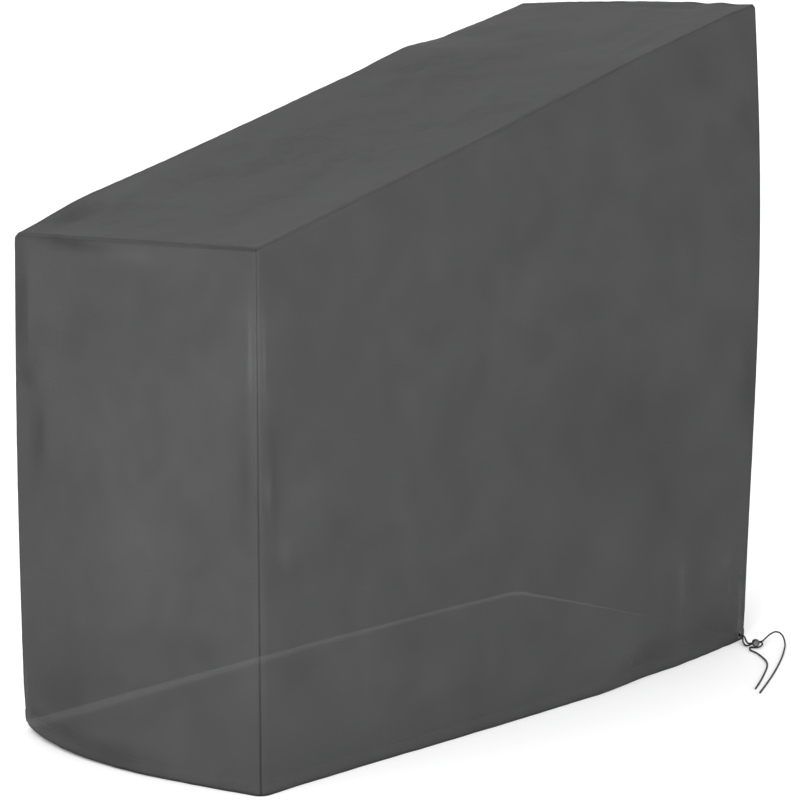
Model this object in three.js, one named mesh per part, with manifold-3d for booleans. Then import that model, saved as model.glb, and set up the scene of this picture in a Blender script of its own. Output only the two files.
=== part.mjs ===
// Fitted cover with a sloping roof: five sewn cloth panels that hang as a hollow wedge, and a
// drawstring that leaves the hem through an eyelet and a cord lock. Millimetres, +Z up, X along
// the length with the tall end at +X. The shape is laid out with Z at zero on the level of the
// hem, and the whole is then set down so that its origin is under the middle of the roof.
import * as THREE from 'three';
import { mergeVertices } from 'three/addons/utils/BufferGeometryUtils.js';
import Module from 'manifold-3d';

const wasm = await Module();
wasm.setup();

// Overall size
const LENGTH = 1274;
const WIDTH = 537;
const LOW_HEIGHT = 816;
const HIGH_HEIGHT = 1171;
const ORIGIN_HEIGHT = 995;

// Cloth. The hem is folded double, so both its faces stand out by HEM_EXTRA.
const CLOTH = 2.0;
const HEM_EXTRA = 0.5;
const HEM_HEIGHT = 24;
const HEM_STEP = 2;
const ROOF_EDGE_RADIUS = 9;
const SEAM_GAP = 0.16;

// The four upright corners. x and y say which corner it is. hem lifts its foot and top its head
// off the even wedge. footOut and headOut move them outward, bow swells the corner outward, most
// at bowAt of its height, the radii round it in plan, and tuck draws its hem inward.
const CORNERS = {
  lowNear: {
    x: -1, y: -1, hem: 0, top: 3.6, footOut: 0, headOut: 0,
    bow: 0, bowAt: 0.5, hemRadius: 20, topRadius: 9, tuck: 1,
  },
  highNear: {
    x: 1, y: -1, hem: 0, top: 2, footOut: 5, headOut: 0,
    bow: 17, bowAt: 0.6, hemRadius: 8, topRadius: 10, tuck: 1,
  },
  highFar: {
    x: 1, y: 1, hem: 6, top: 6, footOut: 4, headOut: 0,
    bow: 9, bowAt: 0.55, hemRadius: 22, topRadius: 10, tuck: 4,
  },
  lowFar: {
    x: -1, y: 1, hem: 13, top: -4.3, footOut: 4, headOut: 2,
    bow: 4, bowAt: 0.5, hemRadius: 12, topRadius: 18, tuck: 2,
  },
};
const RADIUS_SHARE = 0.9;

// The four walls, anticlockwise from above. belly swells the hem outward, most at bellyAt of the
// way along, and dies out upward. puff swells the whole wall. sag drops the hem and tuck draws
// its last stretch inward.
const WALLS = {
  side_panel_near: {
    from: 'lowNear', to: 'highNear', belly: 33, bellyAt: 0.62, puff: 5, sag: 0, tuck: 3,
  },
  end_panel_tall: {
    from: 'highNear', to: 'highFar', belly: 24, bellyAt: 0.5, puff: 8, sag: 2, tuck: 5,
  },
  side_panel_far: {
    from: 'highFar', to: 'lowFar', belly: 20, bellyAt: 0.4, puff: 6, sag: 2, tuck: 4,
  },
  end_panel_low: {
    from: 'lowFar', to: 'lowNear', belly: 56, bellyAt: 0.42, puff: 5, sag: 4, tuck: 7,
  },
};
const BELLY_HEIGHT = 0.42;
const TUCK_HEIGHT = 70;

// Soft creases. at is the distance along the wall from its first corner and z the height above
// the hem of the middle. width and tall are the half sizes, lean is the sideways shift over one
// millimetre of height, and rise is the relief, outward if positive.
const CREASES = [
  { wall: 'side_panel_near', at: 1088, z: 130, width: 17, tall: 95, lean: 0.03, rise: 5 },
  { wall: 'side_panel_near', at: 1176, z: 70, width: 30, tall: 70, lean: -0.1, rise: -5 },
  { wall: 'side_panel_near', at: 905, z: 45, width: 60, tall: 60, lean: 1.9, rise: 5 },
  { wall: 'side_panel_near', at: 1010, z: 25, width: 70, tall: 50, lean: 0.6, rise: -7 },
  { wall: 'side_panel_near', at: 940, z: 490, width: 110, tall: 120, lean: -0.5, rise: -6 },
  { wall: 'side_panel_near', at: 40, z: 470, width: 22, tall: 60, lean: 0, rise: -4 },
  { wall: 'side_panel_near', at: 430, z: 330, width: 160, tall: 190, lean: 0.4, rise: 5 },
  { wall: 'end_panel_tall', at: 130, z: 420, width: 60, tall: 260, lean: 0.1, rise: -6 },
  { wall: 'end_panel_tall', at: 410, z: 640, width: 55, tall: 300, lean: -0.1, rise: 5 },
  { wall: 'side_panel_far', at: 210, z: 240, width: 60, tall: 180, lean: -0.2, rise: 6 },
  { wall: 'side_panel_far', at: 620, z: 430, width: 130, tall: 240, lean: 0.3, rise: -6 },
  { wall: 'side_panel_far', at: 1050, z: 300, width: 70, tall: 170, lean: 0.2, rise: 5 },
  { wall: 'end_panel_low', at: 46, z: 500, width: 26, tall: 90, lean: 0.1, rise: -5 },
  { wall: 'end_panel_low', at: 34, z: 170, width: 24, tall: 70, lean: 0, rise: -4 },
  { wall: 'end_panel_low', at: 300, z: 330, width: 90, tall: 180, lean: 0, rise: 7 },
  { wall: 'end_panel_low', at: 508, z: 480, width: 16, tall: 60, lean: 0, rise: -4 },
];
const SEAM_FADE = 0.02;

// How far the roof's two long edges stand over the straight line between their corners. at is
// the share of the length from the low end. Each ridge dies out across its share of the width.
const FAR_RIDGE = [
  { at: 0, rise: 0 },
  { at: 0.12, rise: 11 },
  { at: 0.4, rise: 10.5 },
  { at: 0.6, rise: 12.5 },
  { at: 0.72, rise: 18 },
  { at: 0.82, rise: 5 },
  { at: 0.93, rise: 1 },
  { at: 1, rise: 0 },
];
const NEAR_RIDGE = [
  { at: 0, rise: 0 },
  { at: 0.4, rise: 0 },
  { at: 0.55, rise: 2.5 },
  { at: 0.72, rise: 5.5 },
  { at: 0.92, rise: 4.5 },
  { at: 1, rise: 0 },
];
const FAR_RIDGE_SPREAD = 0.65;
const NEAR_RIDGE_SPREAD = 0.5;
const ROOF_CROWN = 4;
const TALL_EDGE_CROWN = { rise: 5, from: 0.75 };
const ROOF_DIP = { x: -330, y: 60, reach: 170, depth: 7 };

// How finely the panels are divided. CREST_ANGLES are the wall's rows round the roof edge and
// BROW_ANGLES are the roof's own, both from the wall's upright.
const ARC_STEPS = 2;
const LONG_STEPS = 24;
const SHORT_STEPS = 11;
const BODY_ROWS = 9;
const BODY_GROWTH = 1.15;
const HEM_ROWS = 2;
const CREST_ANGLES = [22.5, 45];
const BROW_ANGLES = [67.5, 90];

// Drawstring, eyelet and cord lock. Turn swings the lock about the upright, rise lifts its button
// and roll tips its slot; the two ends run side by side from the eyelet through it.
const CORD = { diameter: 3.2, sides: 8, step: 4 };
const EYELET = { x: 620, z: 11, bore: 4, outer: 7, thick: 3.6, round: 0.8, play: 0.4, sides: 20 };
const LOCK = { x: 602, y: -324, z: 7.8, radius: 7.5, length: 19, blunt: 0.62, sides: 18 };
const LOCK_POSE = { turn: 35, rise: 8, roll: 15 };
const LOCK_SLOT = { width: 8.2, height: 4.4 };
const BUTTON = { radius: 4.4, thick: 3, round: 1.2, neck: 3, neckRadius: 3, gap: 0.3 };
const LONG_END = [
  [620.9, -264.5, 11.1], [621.9, -278.5, 10.8], [621.9, -284.8, 9.4], [604.5, -301.2, 6.9],
  [603.4, -303.9, 5.3], [599.9, -308.7, 4.5], [599.84, -317.26, 5.99], [603.72, -322.8, 7.8],
  [607.32, -327.94, 9.48], [610.8, -331, 9.9], [615.2, -330.9, 9.8], [622, -327.7, 9.4],
  [638.7, -321.8, 9.4], [654.4, -317, 10.2], [667.6, -315.2, 11.6], [677.3, -317.2, 13.2],
  [677.4, -325.5, 13.4], [668.8, -338.1, 11.8], [651.4, -353.9, 9.4], [628.4, -370.6, 6.4],
  [598.5, -387.6, 3.8], [566.3, -404.6, 2.2], [528.9, -423.2, 1.7], [490, -441.8, 1.7],
  [450.1, -460.2, 1.7], [411.6, -476.9, 1.7], [373.5, -493.1, 1.7], [337.7, -507.9, 1.7],
];
const SHORT_END = [
  [617.2, -264.9, 11.1], [618.15, -279, 10.8], [616.7, -284.8, 8.7], [601.8, -296.1, 5.4],
  [599, -299.6, 3.3], [593.6, -306.1, 2.4], [590.7, -312.2, 2.5], [591.7, -316.6, 4],
  [596.4, -319.67, 5.99], [600.28, -325.2, 7.8], [603.88, -330.35, 9.48], [605.1, -334.4, 9.6],
  [603.3, -337.6, 7.8], [599.3, -338.3, 5.4], [595.4, -335.5, 3], [592.5, -330.7, 1.9],
  [589.3, -326.1, 1.7], [585.1, -323.6, 1.7], [574.3, -329.8, 1.7], [568.2, -337.1, 1.7],
  [564.6, -345, 1.7], [559.2, -355.3, 1.7], [549.4, -368.9, 1.7], [536.3, -385.1, 1.7],
  [519.5, -402.1, 1.7], [496.7, -418.4, 1.7], [468.4, -434, 1.7], [439.6, -448.4, 1.7],
  [408.4, -463.5, 1.7], [379.7, -476.6, 1.7], [354.8, -487.6, 1.7],
];

const DEGREE = Math.PI / 180;
const lerp = THREE.MathUtils.lerp;
const smooth = THREE.MathUtils.smoothstep;
const clamp = THREE.MathUtils.clamp;
const bell = (value, reach) => Math.exp(-((value / reach) ** 2));

// A hump over a share from 0 to 1 that is highest at one share
const humpAt = (share, crest) => Math.sin(Math.PI * share ** (Math.log(0.5) / Math.log(crest)));

// The value of a table of stations at one share of the length, eased between its rows
function along(table, share) {
  const next = Math.max(1, table.findIndex((row) => row.at >= Math.min(share, 1)));
  const [a, b] = [table[next - 1], table[next]];
  return lerp(a.rise, b.rise, smooth(share, a.at, b.at));
}

// Height of the roof's outer face over the hem, before its edges are rounded off
function roofHeight(x, y) {
  const run = clamp(x / LENGTH + 0.5, 0, 1);
  const across = clamp(y / WIDTH + 0.5, 0, 1);
  const nearTop = lerp(CORNERS.lowNear.top, CORNERS.highNear.top, run);
  const farTop = lerp(CORNERS.lowFar.top, CORNERS.highFar.top, run);
  const even = lerp(LOW_HEIGHT, HIGH_HEIGHT, run) + lerp(nearTop, farTop, across);
  const farRidge = along(FAR_RIDGE, run) * smooth(across, 1 - FAR_RIDGE_SPREAD, 1);
  const nearRidge = along(NEAR_RIDGE, run) * (1 - smooth(across, 0, NEAR_RIDGE_SPREAD));
  const middle = 4 * across * (1 - across);
  const tallEdge = TALL_EDGE_CROWN.rise * smooth(run, TALL_EDGE_CROWN.from, 1);
  const crown = (ROOF_CROWN * Math.sin(Math.PI * run) + tallEdge) * middle;
  const dipShape = bell(x - ROOF_DIP.x, ROOF_DIP.reach) * bell(y - ROOF_DIP.y, ROOF_DIP.reach);
  return even + farRidge + nearRidge + crown - ROOF_DIP.depth * dipShape;
}

// A corner in plan at a share of the height: where its two faces would meet, and the radius that
// rounds it. The middle of the round lies on the corner of the even wedge, moved out by the bow.
function cornerAt(corner, share) {
  const radius = lerp(corner.hemRadius, corner.topRadius, smooth(share, 0, RADIUS_SHARE));
  const shift = lerp(corner.footOut, corner.headOut, share) + corner.bow * humpAt(share, corner.bowAt);
  const out = shift * Math.SQRT1_2 + radius * (1 - Math.SQRT1_2);
  return { x: corner.x * (LENGTH / 2 + out), y: corner.y * (WIDTH / 2 + out), radius };
}

// The columns of a wall: angles down its first rounded corner, shares of its straight stretch,
// and angles round its last corner
function columnsOf(steps) {
  const columns = [];
  for (let i = 0; i < ARC_STEPS; i += 1) {
    columns.push({ share: 0, angle: -45 * (1 - i / ARC_STEPS) });
  }
  for (let i = 0; i <= steps; i += 1) {
    columns.push({ share: i / steps, angle: 0 });
  }
  for (let i = 1; i <= ARC_STEPS; i += 1) {
    columns.push({ share: 1, angle: 45 * (i / ARC_STEPS) });
  }
  return columns;
}

// The rows of a wall from the hem to the roof seam. rise is the height in millimetres that is
// always there, body the share of the stretch between hem and roof edge, and inset the rounding.
function rowsOf() {
  const rows = [];
  for (let i = 0; i <= HEM_ROWS; i += 1) {
    rows.push({ rise: (HEM_HEIGHT * i) / HEM_ROWS, body: 0, inset: -HEM_EXTRA, hem: true });
  }
  const foot = HEM_HEIGHT + HEM_STEP;
  for (let i = 0; i <= BODY_ROWS; i += 1) {
    rows.push({ rise: foot, body: (i / BODY_ROWS) ** BODY_GROWTH, inset: 0, hem: false });
  }
  for (const angle of CREST_ANGLES) {
    const rise = foot + ROOF_EDGE_RADIUS * Math.sin(angle * DEGREE);
    const inset = ROOF_EDGE_RADIUS * (1 - Math.cos(angle * DEGREE));
    rows.push({ rise, body: 1, inset, hem: false });
  }
  return rows;
}

// A point of a wall in plan: round its first corner, along it, or round its last corner
function planPoint(wall, column, share, offset) {
  const [a, b] = [CORNERS[wall.from], CORNERS[wall.to]];
  const [first, last] = [cornerAt(a, share), cornerAt(b, share)];
  const start = new THREE.Vector2(first.x - a.x * first.radius, first.y - a.y * first.radius);
  const end = new THREE.Vector2(last.x - b.x * last.radius, last.y - b.y * last.radius);
  const run = new THREE.Vector2(Math.sign(b.x - a.x), Math.sign(b.y - a.y));
  const heading = new THREE.Vector2(run.y, -run.x).multiplyScalar(Math.cos(column.angle * DEGREE));
  heading.addScaledVector(run, Math.sin(column.angle * DEGREE));
  const radius = lerp(first.radius, last.radius, column.share);
  return start.lerp(end, column.share).addScaledVector(heading, radius + offset);
}

const isLong = (wall) => CORNERS[wall.from].y === CORNERS[wall.to].y;

// How far a wall stands out of the even wedge at one column and height over the hem
function swell(name, column, z, share) {
  const wall = WALLS[name];
  const hump = humpAt(column.share, wall.bellyAt);
  const belly = wall.belly * hump * (1 - smooth(share, 0, BELLY_HEIGHT));
  const puff = wall.puff * Math.sin(Math.PI * column.share) * Math.sin(Math.PI * share);
  const cornerTuck = lerp(CORNERS[wall.from].tuck, CORNERS[wall.to].tuck, column.share);
  const tuck = (cornerTuck + wall.tuck * hump) * (1 - smooth(z, 0, TUCK_HEIGHT));
  const across = column.share * (isLong(wall) ? LENGTH : WIDTH);
  const fade = smooth(column.share, 0, SEAM_FADE) * (1 - smooth(column.share, 1 - SEAM_FADE, 1));
  let relief = 0;
  for (const crease of CREASES) {
    if (crease.wall === name) {
      const middle = crease.at + crease.lean * (z - crease.z);
      relief += crease.rise * bell(across - middle, crease.width) * bell(z - crease.z, crease.tall);
    }
  }
  return belly + puff - tuck + relief * fade;
}

// A point on a wall's outer face
function wallPoint(name, column, row) {
  const wall = WALLS[name];
  const crest = planPoint(wall, column, 1, 0);
  const cornerFoot = lerp(CORNERS[wall.from].hem, CORNERS[wall.to].hem, column.share);
  const foot = cornerFoot - wall.sag * humpAt(column.share, wall.bellyAt);
  const full = roofHeight(crest.x, crest.y) - foot;
  const rise = row.rise + row.body * (full - HEM_HEIGHT - HEM_STEP - ROOF_EDGE_RADIUS);
  const share = rise / full;
  const offset = swell(name, column, rise, share) - row.inset;
  const plan = planPoint(wall, column, share, offset);
  return new THREE.Vector3(plan.x, plan.y, foot + rise);
}

// Grids of outer points, one for each panel, as grid[column][row]. Each wall's first column is
// the last one of the wall before it.
const rows = rowsOf();
const grids = {};
for (const [name, wall] of Object.entries(WALLS)) {
  const columns = columnsOf(isLong(wall) ? LONG_STEPS : SHORT_STEPS);
  grids[name] = columns.map((column) => rows.map((row) => wallPoint(name, column, row)));
}
const wallNames = Object.keys(WALLS);
wallNames.forEach((name, k) => {
  grids[wallNames[(k + 1) % wallNames.length]][0] = grids[name].at(-1);
});

// Shares across the roof of its lines: the rounded edge, an even middle and the other edge
function roofShares(count, size) {
  const seam = Math.cos(CREST_ANGLES.at(-1) * DEGREE);
  const brow = BROW_ANGLES.map((angle) => ROOF_EDGE_RADIUS * (seam - Math.cos(angle * DEGREE)) / size);
  const middle = count - 2 * brow.length;
  const shares = [0, ...brow];
  for (let i = 1; i < middle; i += 1) {
    shares.push(lerp(brow.at(-1), 1 - brow.at(-1), i / middle));
  }
  return [...shares, ...brow.reverse().map((share) => 1 - share), 1];
}

// The roof fills the loop of its four seams, blended across from edge to edge
function roofGrid() {
  const top = rows.length - 1;
  const near = grids.side_panel_near.map((line) => line[top]);
  const tall = grids.end_panel_tall.map((line) => line[top]);
  const far = grids.side_panel_far.map((line) => line[top]).reverse();
  const low = grids.end_panel_low.map((line) => line[top]).reverse();
  const [m, n] = [near.length - 1, tall.length - 1];
  const [us, vs] = [roofShares(m, LENGTH), roofShares(n, WIDTH)];
  const drop = ROOF_EDGE_RADIUS * (1 - Math.sin(BROW_ANGLES[0] * DEGREE));
  const blend = (axis, i, j) => {
    const sides = lerp(near[i][axis], far[i][axis], vs[j]) + lerp(low[j][axis], tall[j][axis], us[i]);
    const nearLine = lerp(near[0][axis], near[m][axis], us[i]);
    const farLine = lerp(far[0][axis], far[m][axis], us[i]);
    return sides - lerp(nearLine, farLine, vs[j]);
  };
  const inside = (i, j) => {
    const [x, y] = [blend('x', i, j), blend('y', i, j)];
    const isBrow = i === 1 || j === 1 || i === m - 1 || j === n - 1;
    return new THREE.Vector3(x, y, roofHeight(x, y) - (isBrow ? drop : 0));
  };
  return near.map((nearPoint, i) => tall.map((tallPoint, j) => {
    if (j === 0) return nearPoint;
    if (j === n) return far[i];
    if (i === 0) return low[j];
    return i === m ? tallPoint : inside(i, j);
  }));
}
grids.roof_panel = roofGrid();

// Outward directions at every point. Panels share the points of the seam between them, so they
// share the directions there too.
const facings = new Map();
for (const grid of Object.values(grids)) {
  for (let i = 0; i < grid.length - 1; i += 1) {
    for (let j = 0; j < grid[0].length - 1; j += 1) {
      const corners = [grid[i][j], grid[i + 1][j], grid[i + 1][j + 1], grid[i][j + 1]];
      const rising = corners[2].clone().sub(corners[0]);
      const facing = rising.cross(corners[3].clone().sub(corners[1])).normalize();
      for (const corner of corners) {
        facings.set(corner, (facings.get(corner) ?? new THREE.Vector3()).add(facing));
      }
    }
  }
}

// Moves a point on a panel's seam edge back into the panel, so that its neighbour stays clear
function pulledBack(grid, i, j, openFoot) {
  const [m, n] = [grid.length - 1, grid[0].length - 1];
  const stepI = i === 0 ? 1 : i === m ? -1 : 0;
  const stepJ = j === n ? -1 : j === 0 && !openFoot ? 1 : 0;
  const point = grid[i][j].clone();
  if (stepI !== 0 || stepJ !== 0) {
    const inward = grid[i + stepI][j + stepJ].clone().sub(point).normalize();
    point.addScaledVector(inward, stepI !== 0 && stepJ !== 0 ? SEAM_GAP * Math.SQRT2 : SEAM_GAP);
  }
  return point;
}

// A closed sheet of cloth from a panel's grid of outer points
function panelGeometry(grid, isWall) {
  const [m, n] = [grid.length, grid[0].length];
  const outer = [];
  const inner = [];
  grid.forEach((line, i) => line.forEach((corner, j) => {
    const point = pulledBack(grid, i, j, isWall);
    const thick = isWall && rows[j].hem ? CLOTH + 2 * HEM_EXTRA : CLOTH;
    const facing = facings.get(corner).clone().normalize();
    outer.push(...point.toArray());
    inner.push(...point.addScaledVector(facing, -thick).toArray());
  }));
  const at = (i, j, layer) => layer * m * n + i * n + j;
  const index = [];
  const quad = (a, b, c, d) => index.push(a, b, c, a, c, d);
  for (let i = 0; i < m - 1; i += 1) {
    for (let j = 0; j < n - 1; j += 1) {
      const front = [at(i, j, 0), at(i + 1, j, 0), at(i + 1, j + 1, 0), at(i, j + 1, 0)];
      const back = [at(i, j + 1, 1), at(i + 1, j + 1, 1), at(i + 1, j, 1), at(i, j, 1)];
      if ((i < m / 2) === (j < n / 2)) {
        quad(...front);
        quad(back[1], back[2], back[3], back[0]);
      } else {
        quad(front[1], front[2], front[3], front[0]);
        quad(...back);
      }
    }
  }
  for (let i = 0; i < m - 1; i += 1) {
    quad(at(i, 0, 1), at(i + 1, 0, 1), at(i + 1, 0, 0), at(i, 0, 0));
    quad(at(i + 1, n - 1, 1), at(i, n - 1, 1), at(i, n - 1, 0), at(i + 1, n - 1, 0));
  }
  for (let j = 0; j < n - 1; j += 1) {
    quad(at(0, j + 1, 1), at(0, j, 1), at(0, j, 0), at(0, j + 1, 0));
    quad(at(m - 1, j, 1), at(m - 1, j + 1, 1), at(m - 1, j + 1, 0), at(m - 1, j, 0));
  }
  const geometry = new THREE.BufferGeometry();
  geometry.setAttribute('position', new THREE.Float32BufferAttribute([...outer, ...inner], 3));
  geometry.setIndex(index);
  return geometry;
}

function toSolid(geometry) {
  const bare = geometry.clone();
  bare.deleteAttribute('normal');
  bare.deleteAttribute('uv');
  const merged = mergeVertices(bare, 1e-4);
  return new wasm.Manifold(new wasm.Mesh({
    numProp: 3,
    vertProperties: merged.attributes.position.array,
    triVerts: new Uint32Array(merged.index.array),
  }));
}

function toGeometry(solid) {
  const mesh = solid.getMesh();
  const geometry = new THREE.BufferGeometry();
  geometry.setAttribute('position', new THREE.BufferAttribute(mesh.vertProperties, 3));
  geometry.setIndex(new THREE.BufferAttribute(mesh.triVerts, 1));
  return geometry;
}

// A turned form from a closed outline of [radius, height] pairs, its axis laid along a direction
function turned(outline, sides, direction, middle) {
  const points = outline.map(([radius, height]) => new THREE.Vector2(radius, height));
  const geometry = new THREE.LatheGeometry(points, sides);
  const up = new THREE.Vector3(0, 1, 0);
  geometry.applyQuaternion(new THREE.Quaternion().setFromUnitVectors(up, direction));
  return geometry.translate(middle.x, middle.y, middle.z);
}

// Where the eyelet sits in the near panel's hem: a point on the outer face and the way it faces
function eyeletSeat() {
  const { from, to } = WALLS.side_panel_near;
  const [start, end] = [cornerAt(CORNERS[from], 0), cornerAt(CORNERS[to], 0)];
  const [left, right] = [start.x + start.radius, end.x - end.radius];
  const sample = (x, z) => {
    const column = { share: (x - left) / (right - left), angle: 0 };
    return wallPoint('side_panel_near', column, { rise: z, body: 0, inset: -HEM_EXTRA });
  };
  const { x, z, bore } = EYELET;
  const run = sample(x + bore, z).sub(sample(x - bore, z));
  const climb = sample(x, z + bore).sub(sample(x, z - bore));
  return { point: sample(x, z), facing: run.cross(climb).normalize() };
}

const seat = eyeletSeat();
const eyeletMiddle = seat.point.clone().addScaledVector(seat.facing, -CLOTH / 2 - HEM_EXTRA);

function eyeletGeometry() {
  const { bore, outer, round, sides } = EYELET;
  const half = EYELET.thick / 2;
  const outline = [
    [bore + round, -half], [outer - round, -half], [outer, -half + round], [outer, half - round],
    [outer - round, half], [bore + round, half], [bore, half - round], [bore, -half + round],
    [bore + round, -half],
  ];
  return turned(outline, sides, seat.facing, eyeletMiddle);
}

function eyeletHole() {
  const reach = 3 * EYELET.thick;
  const radius = EYELET.outer + EYELET.play;
  const outline = [[0, -reach], [radius, -reach], [radius, reach], [0, reach]];
  return turned(outline, EYELET.sides, seat.facing, eyeletMiddle);
}

// The cord lock lies on its side, its push button lifted and turned away from the hem
const lockMiddle = new THREE.Vector3(LOCK.x, LOCK.y, LOCK.z);
const lockAxis = new THREE.Vector3(-1, 0, 0)
  .applyAxisAngle(new THREE.Vector3(0, 1, 0), LOCK_POSE.rise * DEGREE)
  .applyAxisAngle(new THREE.Vector3(0, 0, 1), LOCK_POSE.turn * DEGREE);

function lockGeometry() {
  const { radius, length, blunt, sides } = LOCK;
  const outline = [[0, -length / 2]];
  for (let angle = -75; angle <= 75; angle += 30) {
    const flat = Math.cos(angle * DEGREE) ** blunt;
    outline.push([radius * flat, (length / 2) * Math.sin(angle * DEGREE)]);
  }
  outline.push([0, length / 2]);
  const barrel = toSolid(turned(outline, sides, lockAxis, lockMiddle));
  const slot = new THREE.BoxGeometry(LOCK_SLOT.width, 4 * radius, LOCK_SLOT.height);
  slot.rotateX(-LOCK_POSE.roll * DEGREE).rotateZ(LOCK_POSE.turn * DEGREE);
  slot.translate(lockMiddle.x, lockMiddle.y, lockMiddle.z);
  return toGeometry(barrel.subtract(toSolid(slot)));
}

function buttonGeometry() {
  const { radius, round, neckRadius } = BUTTON;
  const foot = LOCK.length / 2 + BUTTON.gap;
  const head = foot + BUTTON.neck;
  const end = head + BUTTON.thick;
  const outline = [
    [0, foot], [neckRadius, foot], [neckRadius, head], [radius - round / 2, head],
    [radius, head + round / 2], [radius, end - round], [radius - round, end], [0, end],
  ];
  return turned(outline, LOCK.sides, lockAxis, lockMiddle);
}

// A round cord along its route
function cordGeometry(route) {
  const points = route.map((point) => new THREE.Vector3(...point));
  const extrudePath = new THREE.CatmullRomCurve3(points, false, 'centripetal');
  const steps = Math.round(extrudePath.getLength() / CORD.step);
  const section = new THREE.Shape();
  for (let k = 0; k < CORD.sides; k += 1) {
    const angle = (2 * Math.PI * (k + 0.5)) / CORD.sides;
    const spot = [Math.cos(angle), Math.sin(angle)].map((value) => (value * CORD.diameter) / 2);
    if (k === 0) {
      section.moveTo(...spot);
    } else {
      section.lineTo(...spot);
    }
  }
  section.closePath();
  return new THREE.ExtrudeGeometry(section, { steps, extrudePath, curveSegments: 1 });
}

const FINISHES = {
  cloth: new THREE.MeshStandardMaterial({ color: 0x55565a, roughness: 0.8, metalness: 0 }),
  cord: new THREE.MeshStandardMaterial({ color: 0x3a3b3d, roughness: 0.85, metalness: 0 }),
  plastic: new THREE.MeshStandardMaterial({ color: 0x2e2f31, roughness: 0.45, metalness: 0 }),
  button: new THREE.MeshStandardMaterial({ color: 0x77797c, roughness: 0.4, metalness: 0 }),
  metal: new THREE.MeshStandardMaterial({ color: 0x8d8f92, roughness: 0.35, metalness: 0.9 }),
};

const cover = new THREE.Group();
function add(name, geometry, finish) {
  const mesh = new THREE.Mesh(geometry, FINISHES[finish]);
  mesh.name = name;
  cover.add(mesh);
}

for (const name of wallNames) {
  const sheet = panelGeometry(grids[name], true);
  const isPierced = name === 'side_panel_near';
  add(name, isPierced ? toGeometry(toSolid(sheet).subtract(toSolid(eyeletHole()))) : sheet, 'cloth');
}
add('roof_panel', panelGeometry(grids.roof_panel, false), 'cloth');
add('hem_eyelet', eyeletGeometry(), 'metal');
add('drawstring_long_end', cordGeometry(LONG_END), 'cord');
add('drawstring_short_end', cordGeometry(SHORT_END), 'cord');
add('cord_lock_barrel', lockGeometry(), 'plastic');
add('cord_lock_button', buttonGeometry(), 'button');
cover.position.z = -ORIGIN_HEIGHT;

export default cover;
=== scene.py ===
"""Looks for a fitted cover with a sloping roof: five sewn cloth panels that hang as a hollow wedge.

A drawstring leaves the hem of the near side panel through an eyelet and a cord lock. Metres, +Z up,
X along the length with the tall end at +X, and the origin under the middle of the roof.
"""
import logging
import math
from dataclasses import dataclass, field
from enum import Enum

import bmesh
import bpy
import numpy as np
from mathutils import Matrix, Vector, noise


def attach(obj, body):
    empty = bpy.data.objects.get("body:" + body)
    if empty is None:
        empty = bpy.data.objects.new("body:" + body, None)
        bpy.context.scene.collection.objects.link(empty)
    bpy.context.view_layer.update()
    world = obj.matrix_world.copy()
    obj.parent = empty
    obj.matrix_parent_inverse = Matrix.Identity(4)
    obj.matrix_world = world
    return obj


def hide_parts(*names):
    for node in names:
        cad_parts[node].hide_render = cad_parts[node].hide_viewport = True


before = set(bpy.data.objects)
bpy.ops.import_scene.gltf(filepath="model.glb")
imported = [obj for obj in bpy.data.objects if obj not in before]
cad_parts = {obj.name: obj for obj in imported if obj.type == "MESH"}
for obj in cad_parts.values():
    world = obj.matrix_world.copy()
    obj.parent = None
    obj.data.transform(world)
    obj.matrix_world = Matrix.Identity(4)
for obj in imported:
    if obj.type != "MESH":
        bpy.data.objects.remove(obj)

LOG = logging.getLogger("cover")

LENGTH = 1.274
WIDTH = 0.537
LOW_HEIGHT = 0.816
HIGH_HEIGHT = 1.171
FLOOR = -0.995
ROOT = "root"

EYELET_AT = (0.6199, -0.2741, FLOOR + 0.0110)
EYELET_AXIS = (0.1075, -0.9940, -0.0187)

CORNER_COLUMNS = 6
HEM_ROWS = 12
CREST_ROWS = 5
BROW_LINES = 5
SPLINE_SAMPLES = 40
WELD = 1e-6
CUT_MAP = "cut"

Array = np.ndarray
Pair = tuple[float, float]
Point = tuple[float, float, float]


def smooth(value: Array | float, low: float, high: float) -> Array:
    """Eases from 0 at low to 1 at high."""
    share = np.clip((value - low) / (high - low), 0.0, 1.0)
    return share * share * (3.0 - 2.0 * share)


def bell(value: Array | float, reach: float) -> Array:
    """Gives a bell curve, 1 at zero and about a third at reach."""
    return np.exp(-((value / reach) ** 2))


def mixed(low: Array | float, high: Array | float, share: Array | float) -> Array:
    """Gives the value a share of the way from low to high."""
    return low + (high - low) * share


def hump(share: Array | float, crest: float) -> Array:
    """Gives a hump over shares from 0 to 1 that reaches 1 at the share of its crest."""
    return np.sin(np.pi * np.clip(share, 0.0, 1.0) ** (math.log(0.5) / math.log(crest)))


def spaced(length: float, fine: float, coarse: float, growth: float) -> Array:
    """Divides a length with short steps at both ends and long ones between them.

    Args:
        length: The length.
        fine: The first and last step.
        coarse: The longest step.
        growth: How much longer each step is than the one before it.

    Returns:
        The places from 0 to length.
    """
    ends = [0.0]
    step = fine
    while step < coarse:
        ends.append(ends[-1] + step)
        step *= growth
    middle = length - 2 * ends[-1]
    count = max(1, round(middle / coarse))
    inner = ends[-1] + middle * np.arange(1, count) / count
    return np.concatenate([ends, inner, length - np.array(ends[::-1])])


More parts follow.
